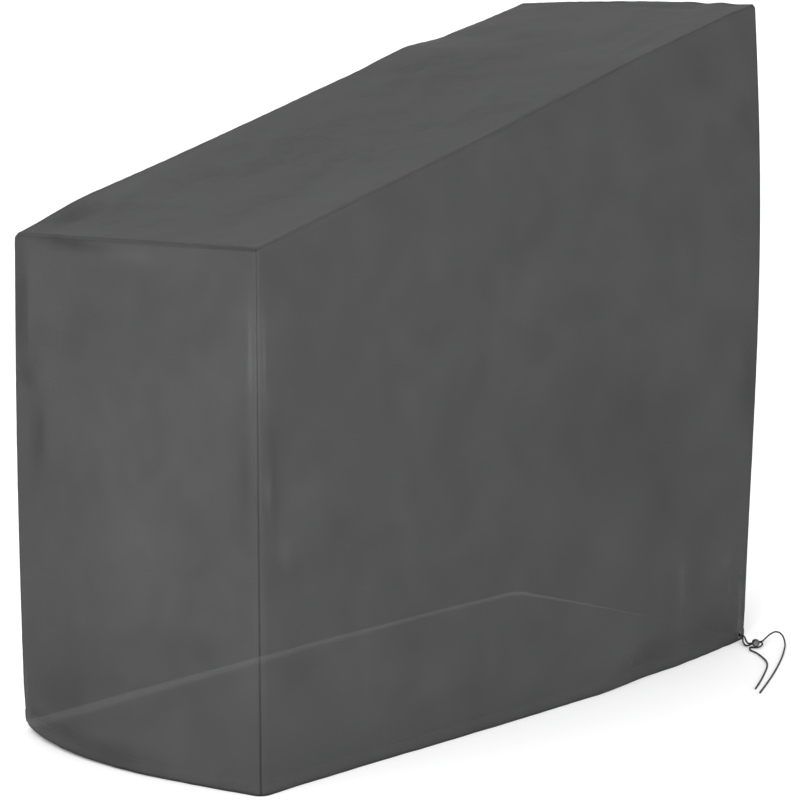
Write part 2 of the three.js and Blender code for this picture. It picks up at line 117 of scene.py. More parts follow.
@dataclass(frozen=True)
class Lumps:
    """Soft noise: its strength, the size of its lumps, and a seed that sets it apart."""

    strength: float
    size: float
    seed: float

    def at(self, points: Array) -> Array:
        """Gives the noise at points, the same on every run.

        Args:
            points: Points as an array that ends in three coordinates.

        Returns:
            The noise, up to about the strength both ways, in the shape of points without its last axis.
        """
        flat = points.reshape(-1, 3) / self.size + self.seed
        values = np.fromiter((noise.noise(Vector(point)) for point in flat), float, len(flat))
        return self.strength * values.reshape(points.shape[:-1])


@dataclass(frozen=True)
class Corner:
    """One upright corner of the cover.

    x and y say which corner it is. hem lifts its foot and top its head. foot_out and head_out move
    them outward, bow swells the corner, most at bow_at of its height, the radii round it in plan,
    and tuck draws its hem inward.
    """

    x: int
    y: int
    top: float
    hem_radius: float
    top_radius: float
    tuck: float
    hem: float = 0.0
    foot_out: float = 0.0
    head_out: float = 0.0
    bow: float = 0.0
    bow_at: float = 0.5


@dataclass(frozen=True)
class Crease:
    """A soft trough or ridge on a wall.

    at is the distance along the wall from its first corner and z the height over the hem of its
    middle, width and tall are its half sizes, lean is the sideways shift over one metre of height,
    and rise is its relief, outward if positive.
    """

    at: float
    z: float
    width: float
    tall: float
    lean: float
    rise: float

    def relief(self, across: Array, z: Array) -> Array:
        """Gives the crease's relief at distances along the wall and heights over the hem."""
        middle = self.at + self.lean * (z - self.z)
        return self.rise * bell(across - middle, self.width) * bell(z - self.z, self.tall)


FOLD_STARTS = (-0.1, 0.35)
FOLD_ENDS = (0.65, 1.1)


@dataclass(frozen=True)
class Fold:
    """A soft fold along a straight line on a panel.

    start and end are places on the panel: the distance along it and the height over the hem, or x
    and y on the roof. width is the fold's half width and rise its relief, outward if positive.
    """

    start: Pair
    end: Pair
    width: float
    rise: float

    def relief(self, across: Array, z: Array) -> Array:
        """Gives the fold's relief, which fades in and out over the shares of FOLD_STARTS and FOLD_ENDS.

        Args:
            across: Distances along the wall, or x on the roof.
            z: Heights over the hem, or y on the roof.

        Returns:
            The relief there.
        """
        run_a, run_z = self.end[0] - self.start[0], self.end[1] - self.start[1]
        length = math.hypot(run_a, run_z)
        from_a, from_z = across - self.start[0], z - self.start[1]
        share = (from_a * run_a + from_z * run_z) / length**2
        aside = (from_a * run_z - from_z * run_a) / length
        taper = smooth(share, *FOLD_STARTS) * (1 - smooth(share, *FOLD_ENDS))
        return self.rise * taper * bell(aside, self.width)


@dataclass(frozen=True)
class PaintedShading:
    """A soft patch of painted highlight on the cloth, or of painted shade if its tone is negative.

    at and z place its middle, width and tall are its half sizes, and tone is the share by which the
    cloth is painted lighter there.
    """

    at: float
    z: float
    width: float
    tall: float
    tone: float

    def shade(self, across: Array, z: Array) -> Array:
        """Gives the patch's painted highlight or painted shade at places on the panel."""
        return self.tone * bell(across - self.at, self.width) * bell(z - self.z, self.tall)


@dataclass(frozen=True)
class Seam:
    """How a seam shows as a darker line, partly the doubled cloth and partly painted shade: how much
    darker the cloth is at its foot and its head, and how far out. A negative darkness is a painted
    highlight.
    """

    foot: float
    head: float
    width: float

    def shade(self, distance: Array, share: Array | float) -> Array:
        """Gives the seam's tone at distances from it and shares of the way up it."""
        return -mixed(self.foot, self.head, share) * bell(distance, self.width)


# Seam lines: the top seams are the doubled cloth with the painted shade of their grooves. The outer seams
# and the hem's lower edge are darkened further as painted shade where the sheet turns away at the outline,
# and the near low corner's line turns into a painted highlight at its head.
OUTER_SEAM_AND_EDGE_SHADE = Seam(foot=0.62, head=0.62, width=0.0062)
CORNER_SEAM_AND_GLINT = Seam(foot=0.30, head=-0.05, width=0.0020)
LOW_TOP_SEAM = Seam(foot=0.30, head=0.30, width=0.0018)
NEAR_TOP_SEAM = Seam(foot=0.06, head=0.06, width=0.0016)
HEM_EDGE_SHADE = Seam(foot=0.62, head=0.62, width=0.0034)

LOW_NEAR = Corner(x=-1, y=-1, top=0.0036, hem_radius=0.020, top_radius=0.009, tuck=0.001)
HIGH_NEAR = Corner(
    x=1, y=-1, top=0.002, hem_radius=0.008, top_radius=0.007, tuck=0.001, foot_out=0.005, bow=0.017,
    bow_at=0.6,
)
HIGH_FAR = Corner(
    x=1, y=1, top=0.006, hem_radius=0.022, top_radius=0.010, tuck=0.004, hem=0.006, foot_out=0.004,
    bow=0.009, bow_at=0.55,
)
LOW_FAR = Corner(
    x=-1, y=1, top=-0.0043, hem_radius=0.012, top_radius=0.018, tuck=0.002, hem=0.013, foot_out=0.004,
    head_out=0.002, bow=0.004,
)


@dataclass(frozen=True)
class Wall:
    """One of the four walls, from its first corner anticlockwise to its last.

    belly swells the hem outward, most at belly_at of the way along. puff swells the whole wall.
    sag drops the hem and tuck draws its last stretch inward. seams are those at its first corner,
    its last corner and its top.
    """

    first: Corner
    last: Corner
    belly: float
    belly_at: float
    puff: float
    sag: float
    tuck: float
    creases: tuple[Crease, ...]
    folds: tuple[Fold, ...]
    # Patches of painted shade and painted highlight on the wall's folds.
    painted_shading: tuple[PaintedShading, ...]
    seams: tuple[Seam, Seam, Seam]

    @property
    def is_long(self) -> bool:
        """Says whether the wall runs along the cover's length."""
        return self.first.y == self.last.y

    @property
    def run(self) -> float:
        """The wall's length between its sharp corners."""
        return LENGTH if self.is_long else WIDTH

    @property
    def heights(self) -> Pair:
        """The wall's height at its first and at its last corner."""
        return tuple(LOW_HEIGHT if corner.x < 0 else HIGH_HEIGHT for corner in (self.first, self.last))


NEAR_WALL = Wall(
    first=LOW_NEAR, last=HIGH_NEAR, belly=0.033, belly_at=0.62, puff=0.005, sag=0.0, tuck=0.003,
    creases=(
        Crease(1.028, 0.130, 0.030, 0.100, 0.03, 0.003),
        Crease(1.176, 0.070, 0.034, 0.070, -0.1, -0.003),
        Crease(0.840, 0.045, 0.060, 0.060, 1.5, 0.004),
        Crease(0.955, 0.025, 0.075, 0.050, 0.6, -0.005),
        Crease(0.940, 0.490, 0.110, 0.120, -0.5, -0.006),
        Crease(0.042, 0.470, 0.026, 0.070, 0.0, -0.003),
        Crease(0.430, 0.330, 0.160, 0.190, 0.4, 0.005),
    ),
    folds=(
        Fold((1.026, 0.045), (1.030, 0.235), 0.025, 0.0016),
        Fold((0.985, 0.060), (0.983, 0.210), 0.024, -0.0010),
        Fold((1.072, 0.060), (1.070, 0.210), 0.024, -0.0010),
        Fold((1.250, 0.010), (1.246, 0.140), 0.008, 0.0022),
        Fold((1.226, 0.020), (1.220, 0.175), 0.013, -0.0018),
        Fold((1.185, 0.045), (1.205, 0.140), 0.012, 0.0022),
        Fold((0.755, 0.002), (0.900, 0.085), 0.030, 0.0020),
        Fold((0.850, 0.000), (1.000, 0.060), 0.034, -0.0022),
        Fold((1.020, 0.010), (1.215, 0.036), 0.020, -0.0022),
        Fold((0.740, 0.120), (0.850, 0.200), 0.024, -0.0026),
        Fold((0.835, 0.560), (1.060, 0.415), 0.036, -0.0040),
        Fold((0.880, 0.640), (1.090, 0.520), 0.030, 0.0030),
        Fold((0.960, 0.420), (0.985, 0.250), 0.020, -0.0026),
        Fold((1.035, 0.400), (1.045, 0.250), 0.016, 0.0022),
        Fold((1.160, 0.620), (1.265, 0.500), 0.020, -0.0030),
        Fold((1.175, 0.980), (1.268, 0.900), 0.022, -0.0034),
        Fold((1.120, 0.880), (1.262, 0.790), 0.018, 0.0024),
        Fold((0.620, 0.820), (1.010, 0.930), 0.018, 0.0026),
        Fold((0.700, 0.765), (1.090, 0.860), 0.020, -0.0028),
        Fold((0.560, 0.700), (0.800, 0.790), 0.016, -0.0020),
        Fold((0.930, 1.000), (1.180, 1.090), 0.015, -0.0024),
        Fold((0.330, 0.620), (0.560, 0.700), 0.022, -0.0022),
        Fold((0.300, 0.480), (0.330, 0.200), 0.018, 0.0016),
        Fold((0.520, 0.420), (0.560, 0.150), 0.020, -0.0018),
        Fold((0.600, 0.300), (0.690, 0.060), 0.018, 0.0016),
        Fold((0.190, 0.330), (0.205, 0.060), 0.014, -0.0014),
        Fold((0.030, 0.420), (0.024, 0.570), 0.013, -0.0016),
        Fold((0.012, 0.425), (0.014, 0.500), 0.009, 0.0012),
        Fold((0.030, 0.410), (0.062, 0.320), 0.009, 0.0022),
        Fold((0.045, 0.270), (0.110, 0.130), 0.014, -0.0018),
    ),
    # Painted shade and painted highlights on the folds.
    painted_shading=(
        PaintedShading(0.830, 0.440, 0.120, 0.100, -0.20),
        PaintedShading(1.010, 0.330, 0.070, 0.120, -0.11),
        PaintedShading(0.820, 0.055, 0.040, 0.045, 0.07),
        PaintedShading(0.925, 0.036, 0.060, 0.032, -0.15),
        PaintedShading(1.110, 0.040, 0.110, 0.032, -0.13),
        PaintedShading(1.140, 0.150, 0.040, 0.090, -0.03),
        PaintedShading(1.240, 0.960, 0.035, 0.070, -0.07),
        PaintedShading(1.255, 0.500, 0.022, 0.090, -0.15),
        PaintedShading(1.110, 1.060, 0.110, 0.040, -0.05),
        PaintedShading(1.030, 0.140, 0.018, 0.085, 0.14),
        PaintedShading(1.252, 0.070, 0.010, 0.070, 0.13),
        PaintedShading(1.262, 0.026, 0.018, 0.018, 0.30),
        PaintedShading(0.760, 0.420, 0.060, 0.160, 0.08),
        PaintedShading(0.640, 0.700, 0.150, 0.060, 0.07),
        PaintedShading(0.024, 0.487, 0.017, 0.055, -0.12),
        PaintedShading(0.008, 0.459, 0.008, 0.022, 0.25),
        PaintedShading(0.040, 0.370, 0.014, 0.040, 0.15),
        # Painted highlight along the near low corner.
        PaintedShading(0.004, 0.660, 0.005, 0.075, 0.30),
    ),
    seams=(CORNER_SEAM_AND_GLINT, OUTER_SEAM_AND_EDGE_SHADE, NEAR_TOP_SEAM),
)
TALL_WALL = Wall(
    first=HIGH_NEAR, last=HIGH_FAR, belly=0.024, belly_at=0.5, puff=0.008, sag=0.002, tuck=0.005,
    creases=(
        Crease(0.130, 0.420, 0.060, 0.260, 0.1, -0.006),
        Crease(0.410, 0.640, 0.055, 0.300, -0.1, 0.005),
    ),
    folds=(
        Fold((0.060, 0.980), (0.300, 1.060), 0.022, -0.0030),
        Fold((0.300, 0.120), (0.330, 0.520), 0.020, -0.0030),
        Fold((0.200, 0.040), (0.180, 0.300), 0.016, 0.0026),
        Fold((0.420, 0.020), (0.450, 0.260), 0.016, -0.0024),
        Fold((0.090, 0.030), (0.070, 0.220), 0.013, 0.0022),
        Fold((0.350, 0.860), (0.490, 0.700), 0.022, 0.0026),
        Fold((0.100, 0.620), (0.200, 0.780), 0.024, -0.0026),
    ),
    # Painted shade and painted highlights on the folds.
    painted_shading=(
        PaintedShading(0.150, 0.400, 0.080, 0.200, -0.11),
        PaintedShading(0.390, 0.750, 0.090, 0.150, 0.08),
        PaintedShading(0.300, 0.050, 0.160, 0.040, -0.12),
    ),
    seams=(OUTER_SEAM_AND_EDGE_SHADE, OUTER_SEAM_AND_EDGE_SHADE, OUTER_SEAM_AND_EDGE_SHADE),
)
FAR_WALL = Wall(
    first=HIGH_FAR, last=LOW_FAR, belly=0.020, belly_at=0.4, puff=0.006, sag=0.002, tuck=0.004,
    creases=(
        Crease(0.210, 0.240, 0.060, 0.180, -0.2, 0.006),
        Crease(0.620, 0.430, 0.130, 0.240, 0.3, -0.006),
        Crease(1.050, 0.300, 0.070, 0.170, 0.2, 0.005),
    ),
    folds=(
        Fold((0.120, 0.860), (0.360, 0.940), 0.022, -0.0030),
        Fold((0.200, 0.080), (0.180, 0.380), 0.018, 0.0030),
        Fold((0.245, 0.040), (0.250, 0.300), 0.016, -0.0026),
        Fold((0.480, 0.480), (0.740, 0.600), 0.030, -0.0034),
        Fold((0.540, 0.030), (0.600, 0.260), 0.020, 0.0028),
        Fold((0.660, 0.020), (0.720, 0.200), 0.018, -0.0028),
        Fold((0.860, 0.640), (1.080, 0.560), 0.024, 0.0026),
        Fold((0.930, 0.040), (0.960, 0.280), 0.018, -0.0026),
        Fold((1.120, 0.160), (1.200, 0.360), 0.020, 0.0024),
        Fold((0.060, 0.500), (0.160, 0.640), 0.022, -0.0026),
    ),
    # Painted shade and painted highlights on the folds.
    painted_shading=(
        PaintedShading(0.300, 0.420, 0.120, 0.120, -0.12),
        PaintedShading(0.700, 0.120, 0.140, 0.080, -0.11),
        PaintedShading(0.560, 0.700, 0.160, 0.090, 0.07),
        PaintedShading(1.020, 0.360, 0.090, 0.150, 0.08),
    ),
    seams=(OUTER_SEAM_AND_EDGE_SHADE, OUTER_SEAM_AND_EDGE_SHADE, OUTER_SEAM_AND_EDGE_SHADE),
)
LOW_WALL = Wall(
    first=LOW_FAR, last=LOW_NEAR, belly=0.056, belly_at=0.42, puff=0.005, sag=0.004, tuck=0.007,
    creases=(
        Crease(0.046, 0.500, 0.026, 0.090, 0.1, -0.005),
        Crease(0.034, 0.170, 0.028, 0.070, 0.0, -0.002),
        Crease(0.300, 0.330, 0.090, 0.180, 0.0, 0.007),
        Crease(0.506, 0.480, 0.020, 0.070, 0.0, -0.003),
    ),
    folds=(
        Fold((0.030, 0.797), (0.215, 0.792), 0.008, -0.0036),
        Fold((0.060, 0.775), (0.260, 0.768), 0.011, 0.0026),
        Fold((0.210, 0.790), (0.330, 0.798), 0.007, 0.0020),
        Fold((0.017, 0.560), (0.016, 0.780), 0.007, -0.0030),
        Fold((0.034, 0.600), (0.038, 0.770), 0.009, 0.0020),
        Fold((0.016, 0.560), (0.048, 0.470), 0.013, -0.0030),
        Fold((0.062, 0.580), (0.088, 0.430), 0.016, 0.0022),
        Fold((0.045, 0.400), (0.060, 0.250), 0.014, -0.0018),
        Fold((0.022, 0.100), (0.040, 0.185), 0.016, -0.0012),
        Fold((0.015, 0.050), (0.165, 0.036), 0.014, -0.0020),
        Fold((0.120, 0.038), (0.335, 0.020), 0.014, -0.0022),
        Fold((0.050, 0.088), (0.230, 0.072), 0.016, 0.0014),
        Fold((0.247, 0.520), (0.250, 0.330), 0.010, -0.0016),
        Fold((0.220, 0.540), (0.228, 0.300), 0.012, 0.0014),
        Fold((0.300, 0.640), (0.318, 0.400), 0.014, 0.0016),
        Fold((0.168, 0.700), (0.150, 0.520), 0.016, -0.0014),
        Fold((0.400, 0.560), (0.420, 0.300), 0.018, -0.0016),
        Fold((0.515, 0.380), (0.513, 0.570), 0.013, -0.0018),
        Fold((0.470, 0.250), (0.440, 0.060), 0.016, 0.0020),
        Fold((0.380, 0.200), (0.360, 0.040), 0.014, -0.0018),
    ),
    # Painted shade and painted highlights on the folds, with painted shade under the top seam and along the
    # hem.
    painted_shading=(
        PaintedShading(0.115, 0.799, 0.075, 0.011, -0.34),
        PaintedShading(0.280, 0.790, 0.060, 0.012, 0.15),
        PaintedShading(0.006, 0.700, 0.016, 0.085, -0.28),
        PaintedShading(0.026, 0.573, 0.016, 0.020, -0.23),
        PaintedShading(0.045, 0.490, 0.026, 0.050, -0.25),
        PaintedShading(0.030, 0.140, 0.024, 0.040, -0.09),
        PaintedShading(0.110, 0.030, 0.090, 0.018, -0.22),
        PaintedShading(0.260, 0.018, 0.090, 0.017, -0.26),
        PaintedShading(0.120, 0.080, 0.110, 0.040, -0.16),
        PaintedShading(0.250, 0.600, 0.130, 0.160, 0.05),
        PaintedShading(0.300, 0.330, 0.100, 0.120, 0.13),
        PaintedShading(0.515, 0.470, 0.016, 0.075, -0.11),
        # Painted highlight along the near low corner.
        PaintedShading(0.532, 0.660, 0.005, 0.075, 0.38),
        PaintedShading(0.300, 0.150, 0.200, 0.090, -0.09),
        PaintedShading(0.440, 0.070, 0.060, 0.050, 0.05),
    ),
    seams=(OUTER_SEAM_AND_EDGE_SHADE, CORNER_SEAM_AND_GLINT, LOW_TOP_SEAM),
)
ROOF_FOLDS = (
    Fold((-0.600, 0.180), (-0.520, 0.250), 0.018, -0.0036),
    Fold((-0.590, 0.120), (-0.420, 0.215), 0.022, 0.0026),
    Fold((-0.460, -0.160), (-0.210, -0.060), 0.026, -0.0026),
    Fold((-0.300, 0.060), (-0.120, 0.160), 0.028, 0.0024),
    Fold((-0.060, -0.180), (0.160, -0.080), 0.026, 0.0026),
    Fold((0.020, 0.040), (0.220, 0.170), 0.026, -0.0028),
    Fold((0.260, -0.215), (0.480, -0.190), 0.016, 0.0018),
    Fold((0.300, -0.150), (0.520, -0.110), 0.022, -0.0018),
    Fold((0.380, 0.060), (0.560, 0.190), 0.024, 0.0026),
    Fold((0.590, -0.200), (0.600, 0.000), 0.014, -0.0020),
)
# Painted shade and painted highlights on the roof: a broad painted shade over its middle and a painted
# highlight along its near edge.
ROOF_PAINTED_SHADING = (
    PaintedShading(-0.560, 0.215, 0.040, 0.040, -0.28),
    PaintedShading(-0.400, -0.100, 0.160, 0.080, -0.06),
    PaintedShading(0.000, 0.000, 0.600, 0.300, -0.10),
    PaintedShading(0.370, -0.235, 0.120, 0.020, 0.10),
    PaintedShading(0.500, 0.000, 0.120, 0.140, 0.07),
)


class Panel(Enum):
    """The five panels, by the node that each of them dresses."""

    NEAR = "side_panel_near"
    TALL = "end_panel_tall"
    FAR = "side_panel_far"
    LOW = "end_panel_low"
    ROOF = "roof_panel"


WALLS = {Panel.NEAR: NEAR_WALL, Panel.TALL: TALL_WALL, Panel.FAR: FAR_WALL, Panel.LOW: LOW_WALL}


@dataclass(frozen=True)
class Station:
    """The rise of a ridge at one share of the cover's length."""

    at: float
    rise: float


FAR_RIDGE = (
    Station(0.0, 0.0), Station(0.12, 0.011), Station(0.4, 0.0105), Station(0.6, 0.0125),
    Station(0.72, 0.018), Station(0.82, 0.005), Station(0.93, 0.001), Station(1.0, 0.0),
)
NEAR_RIDGE = (
    Station(0.0, 0.0), Station(0.4, 0.0), Station(0.55, 0.0025), Station(0.72, 0.0055),
    Station(0.92, 0.0045), Station(1.0, 0.0),
)


def along(ridge: tuple[Station, ...], share: Array) -> Array:
    """Gives a ridge's rise, eased between its stations.

    Args:
        ridge: The ridge's stations in order.
        share: Shares of the cover's length.

    Returns:
        The rise at each share.
    """
    at = np.array([station.at for station in ridge])
    rise = np.array([station.rise for station in ridge])
    after = np.clip(np.searchsorted(at, share), 1, len(at) - 1)
    eased = smooth((share - at[after - 1]) / (at[after] - at[after - 1]), 0.0, 1.0)
    return mixed(rise[after - 1], rise[after], eased)


@dataclass(frozen=True)
class Lines:
    """The lines that divide a wall: columns from corner to corner and rows from hem to roof.

    share and angle place a column on the wall's straight stretch or on its rounded corners. rise
    and body place a row by a fixed height and by a share of the stretch over the hem, and crest is
    its angle round the roof's edge.
    """

    share: Array
    angle: Array
    rise: Array
    body: Array
    crest: Array


@dataclass(frozen=True)
class Surface:
    """A sheet's points, with what its finish needs to know at each of them.

    flat holds the place on the cut cloth and hem the height over the hem's lower edge, in metres.
    tone says how light the cloth looks, 1 on average, painted shade and painted highlights included.
    """

    points: Array
    flat: Array
    hem: Array
    tone: Array


@dataclass(frozen=True)
class CoverShape:
    """The hanging cover as smooth sheets, with the folds and seams of sewn cloth.

    roof_edge is the radius of the roof's soft edge. belly_height and radius_share are the shares of a
    wall's height over which its belly dies out and its corners' rounding changes, and far_spread and
    near_spread the shares of the roof's width that its two ridges take up. Fields that end in starts,
    ends or fade say where something grows or dies out: corner_fade in shares of the wall's length,
    the others in metres. The last six fields set the steps between the sheets' lines.
    """

    hem_height: float = 0.024
    roof_edge: float = 0.009
    belly_height: float = 0.42
    tuck_height: float = 0.070
    corner_fade: float = 0.02
    radius_share: float = 0.9
    far_spread: float = 0.65
    near_spread: float = 0.5
    roof_crown: float = 0.004
    tall_crown: float = 0.005
    tall_crown_from: float = 0.75
    dip_at: Pair = (-0.330, 0.060)
    dip_reach: float = 0.170
    dip_depth: float = 0.007
    scallop: float = 0.0013
    scallop_pitch: float = 0.073
    scallop_at: float = -0.19
    scallop_from: float = 0.9
    groove: float = 0.0009
    groove_width: float = 0.0014
    puckers: Lumps = Lumps(0.0007, 0.017, 3.1)
    pucker_starts: Pair = (0.001, 0.005)
    pucker_ends: Pair = (0.006, 0.030)
    unevenness: tuple[Lumps, ...] = (
        Lumps(0.0018, 0.170, 7.7), Lumps(0.0010, 0.065, 1.3), Lumps(0.0003, 0.028, 2.6),
    )
    uneven_fade: float = 0.05
    clouding: tuple[Lumps, ...] = (Lumps(0.10, 0.110, 4.4), Lumps(0.08, 0.036, 9.2))
    roof_clouding: float = 0.45
    gathers: Lumps = Lumps(0.0008, 0.024, 5.9)
    gather_stretch: float = 0.15
    gather_fade: Pair = (0.02, 0.15)
    gather_side_fade: float = 0.02
    more_at_eyelet: float = 0.9
    eyelet_reach: float = 0.13
    hem_roll: float = 0.0011
    stitch_groove: float = 0.0006
    stitch_width: float = 0.0012
    stitch_drop: float = 0.002
    roof_fold_fade: float = 0.02
    roof_edge_fade: float = 0.0004
    fine_step: float = 0.0018
    side_step: float = 0.0064
    end_step: float = 0.0060
    column_growth: float = 1.07
    row_step: float = 0.0072
    row_growth: float = 1.1

    def roof_height(self, x: Array, y: Array) -> Array:
        """Gives the height over the hem level of the roof, before its edges are rounded.

        Args:
            x: Places along the cover.
            y: Places across it.

        Returns:
            The height at each place.
        """
        run = np.clip(x / LENGTH + 0.5, 0.0, 1.0)
        across = np.clip(y / WIDTH + 0.5, 0.0, 1.0)
        near_top = mixed(LOW_NEAR.top, HIGH_NEAR.top, run)
        far_top = mixed(LOW_FAR.top, HIGH_FAR.top, run)
        even = mixed(LOW_HEIGHT, HIGH_HEIGHT, run) + mixed(near_top, far_top, across)
        far_ridge = along(FAR_RIDGE, run) * smooth(across, 1 - self.far_spread, 1.0)
        near_ridge = along(NEAR_RIDGE, run) * (1 - smooth(across, 0.0, self.near_spread))
        crown = self.roof_crown * np.sin(np.pi * run)
        crown = (crown + self.tall_crown * smooth(run, self.tall_crown_from, 1.0)) * 4 * across
        dip = bell(x - self.dip_at[0], self.dip_reach) * bell(y - self.dip_at[1], self.dip_reach)
        wave = np.sin(2 * np.pi * y / self.scallop_pitch) * bell(y - self.scallop_at, self.scallop_pitch)
        scallops = self.scallop * wave * smooth(run, self.scallop_from, 1.0)
        return even + far_ridge + near_ridge + crown * (1 - across) - self.dip_depth * dip + scallops

    def corner_at(self, corner: Corner, share: Array) -> tuple[Array, Array, Array]:
        """Places a corner at shares of its height.

        Args:
            corner: The corner.
            share: The shares.

        Returns:
            The x and y of its sharp plan point, and its rounding radius.
        """
        eased = smooth(share, 0.0, self.radius_share)
        radius = mixed(corner.hem_radius, corner.top_radius, eased)
        shift = mixed(corner.foot_out, corner.head_out, share) + corner.bow * hump(share, corner.bow_at)
        out = shift * math.sqrt(0.5) + radius * (1 - math.sqrt(0.5))
        return corner.x * (LENGTH / 2 + out), corner.y * (WIDTH / 2 + out), radius

    def plan(self, wall: Wall, lines: Lines, share: Array, offset: Array | float) -> tuple[Array, Array]:
        """Gives a wall's plan points round its corners and along it.

        Args:
            wall: The wall.
            lines: The wall's columns.
            share: The share of the height at each point.
            offset: How far each point stands out of the even wedge.

        Returns:
            The x and y of each point.
        """
        across = lines.share[:, None]
        turn = np.radians(lines.angle)[:, None]
        x1, y1, r1 = self.corner_at(wall.first, share)
        x2, y2, r2 = self.corner_at(wall.last, share)
        run_x, run_y = np.sign(wall.last.x - wall.first.x), np.sign(wall.last.y - wall.first.y)
        reach = mixed(r1, r2, across) + offset
        x = mixed(x1 - wall.first.x * r1, x2 - wall.last.x * r2, across)
        y = mixed(y1 - wall.first.y * r1, y2 - wall.last.y * r2, across)
        x = x + reach * (run_y * np.cos(turn) + run_x * np.sin(turn))
        y = y + reach * (-run_x * np.cos(turn) + run_y * np.sin(turn))
        return x, y

    def swell(self, wall: Wall, lines: Lines, z: Array, share: Array) -> Array:
        """Gives how far a wall stands out of the even wedge, with its creases and folds.

        Args:
            wall: The wall.
            lines: The wall's columns.
            z: The height over the hem of each point.
            share: The share of the wall's height at each point.

        Returns:
            The distance outward.
        """
        across = lines.share[:, None]
        bulge = hump(across, wall.belly_at)
        belly = wall.belly * bulge * (1 - smooth(share, 0.0, self.belly_height))
        puff = wall.puff * np.sin(np.pi * across) * np.sin(np.pi * share)
        corner_tuck = mixed(wall.first.tuck, wall.last.tuck, across)
        tuck = (corner_tuck + wall.tuck * bulge) * (1 - smooth(z, 0.0, self.tuck_height))
        fade = smooth(across, 0.0, self.corner_fade) * (1 - smooth(across, 1 - self.corner_fade, 1.0))
        relief = sum(mark.relief(across * wall.run, z) for mark in wall.creases + wall.folds)
        return belly + puff - tuck + relief * fade

    def wall_surface(self, wall: Wall, lines: Lines) -> Surface:
        """Works out a wall's sheet.

        Args:
            wall: The wall.
            lines: Its columns and rows.

        Returns:
            The wall's surface, indexed by column and row.
        """
        across = lines.share[:, None]
        top_x, top_y = self.plan(wall, lines, np.ones((1, 1)), 0.0)
        foot = mixed(wall.first.hem, wall.last.hem, across) - wall.sag * hump(across, wall.belly_at)
        full = self.roof_height(top_x, top_y) - foot
        stretch = full - self.hem_height - self.roof_edge
        crest = np.radians(lines.crest)[None, :]
        rise = lines.rise[None, :] + lines.body[None, :] * stretch + self.roof_edge * np.sin(crest)
        share = rise / full
        even = self.swell(wall, lines, rise, share) - self.roof_edge * (1 - np.cos(crest))

        def points_at(offset: Array) -> Array:
            """Gives the wall's points where it stands out by an offset."""
            return np.stack([*self.plan(wall, lines, share, offset), FLOOR + foot + rise], axis=-1)

        turn = np.radians(lines.angle)[:, None]
        arc_first = mixed(wall.first.hem_radius, wall.first.top_radius, share)
        arc_last = mixed(wall.last.hem_radius, wall.last.top_radius, share)
        along_first = arc_first * (np.pi / 4 + np.minimum(turn, 0.0)) + across * wall.run
        along_last = arc_last * (np.pi / 4 - np.maximum(turn, 0.0)) + (1 - across) * wall.run
        below_top = self.roof_edge * (np.pi / 4 - crest) + (1 - lines.body[None, :]) * stretch
        distances = (along_first, along_last, below_top)
        seam = np.minimum(np.minimum(along_first, along_last), below_top)

        smooth_points = points_at(even)
        relief = self.cloth_relief(smooth_points, seam) + self.hem_relief(smooth_points, rise, seam)
        points = points_at(even + relief)
        # The tone takes the painted shade and painted highlights of the folds, the seams' dark lines with
        # painted shade at the outline edges, and painted shade along the hem's lower edge.
        patches = sum(painted.shade(across * wall.run, rise) for painted in wall.painted_shading)
        edges = sum(one.shade(far, share) for one, far in zip(wall.seams, distances))
        tone = self.tone(points) + patches + edges + HEM_EDGE_SHADE.shade(rise, 0.0)
        return Surface(points, np.stack([along_first, rise], axis=-1), rise, tone)

    def tone(self, points: Array, strength: float = 1.0) -> Array:
        """Gives the cloth's even but cloudy tone, before its patches of painted shade and painted
        highlight.
        """
        return 1.0 + strength * sum(lumps.at(points) for lumps in self.clouding)

    def cloth_relief(self, points: Array, seam: Array) -> Array:
        """Gives the relief of hanging, sewn cloth: each seam's groove and puckers, and soft lumps.

        Args:
            points: The smooth sheet's points.
            seam: The distance of each point from the nearest seam.

        Returns:
            The relief, outward if positive.
        """
        groove = self.groove * bell(seam, self.groove_width)
        beside = smooth(seam, *self.pucker_starts) * (1 - smooth(seam, *self.pucker_ends))
        soft = sum(lumps.at(points) for lumps in self.unevenness) * smooth(seam, 0.0, self.uneven_fade)
        return beside * self.puckers.at(points) - groove + soft

    def hem_relief(self, points: Array, rise: Array, seam: Array) -> Array:
        """Gives the roll of the turned hem, its stitched groove, and the gathers that rise from it.

        Args:
            points: The smooth sheet's points.
            rise: The height of each point over the hem's lower edge.
            seam: The distance of each point from the nearest seam.

        Returns:
            The relief, outward if positive.
        """
        roll = self.hem_roll * np.sin(np.pi * np.clip(rise / self.hem_height, 0.0, 1.0))
        below_stitches = rise - self.hem_height + self.stitch_drop
        stitched = self.stitch_groove * bell(below_stitches, self.stitch_width)
        upright = points * np.array([1.0, 1.0, self.gather_stretch])
        from_eyelet = np.hypot(points[..., 0] - EYELET_AT[0], points[..., 1] - EYELET_AT[1])
        strength = 1 + self.more_at_eyelet * bell(from_eyelet, self.eyelet_reach)
        gathers = strength * self.gathers.at(upright) * (1 - smooth(rise, *self.gather_fade))
        return roll - stitched + gathers * smooth(seam, 0.0, self.gather_side_fade)

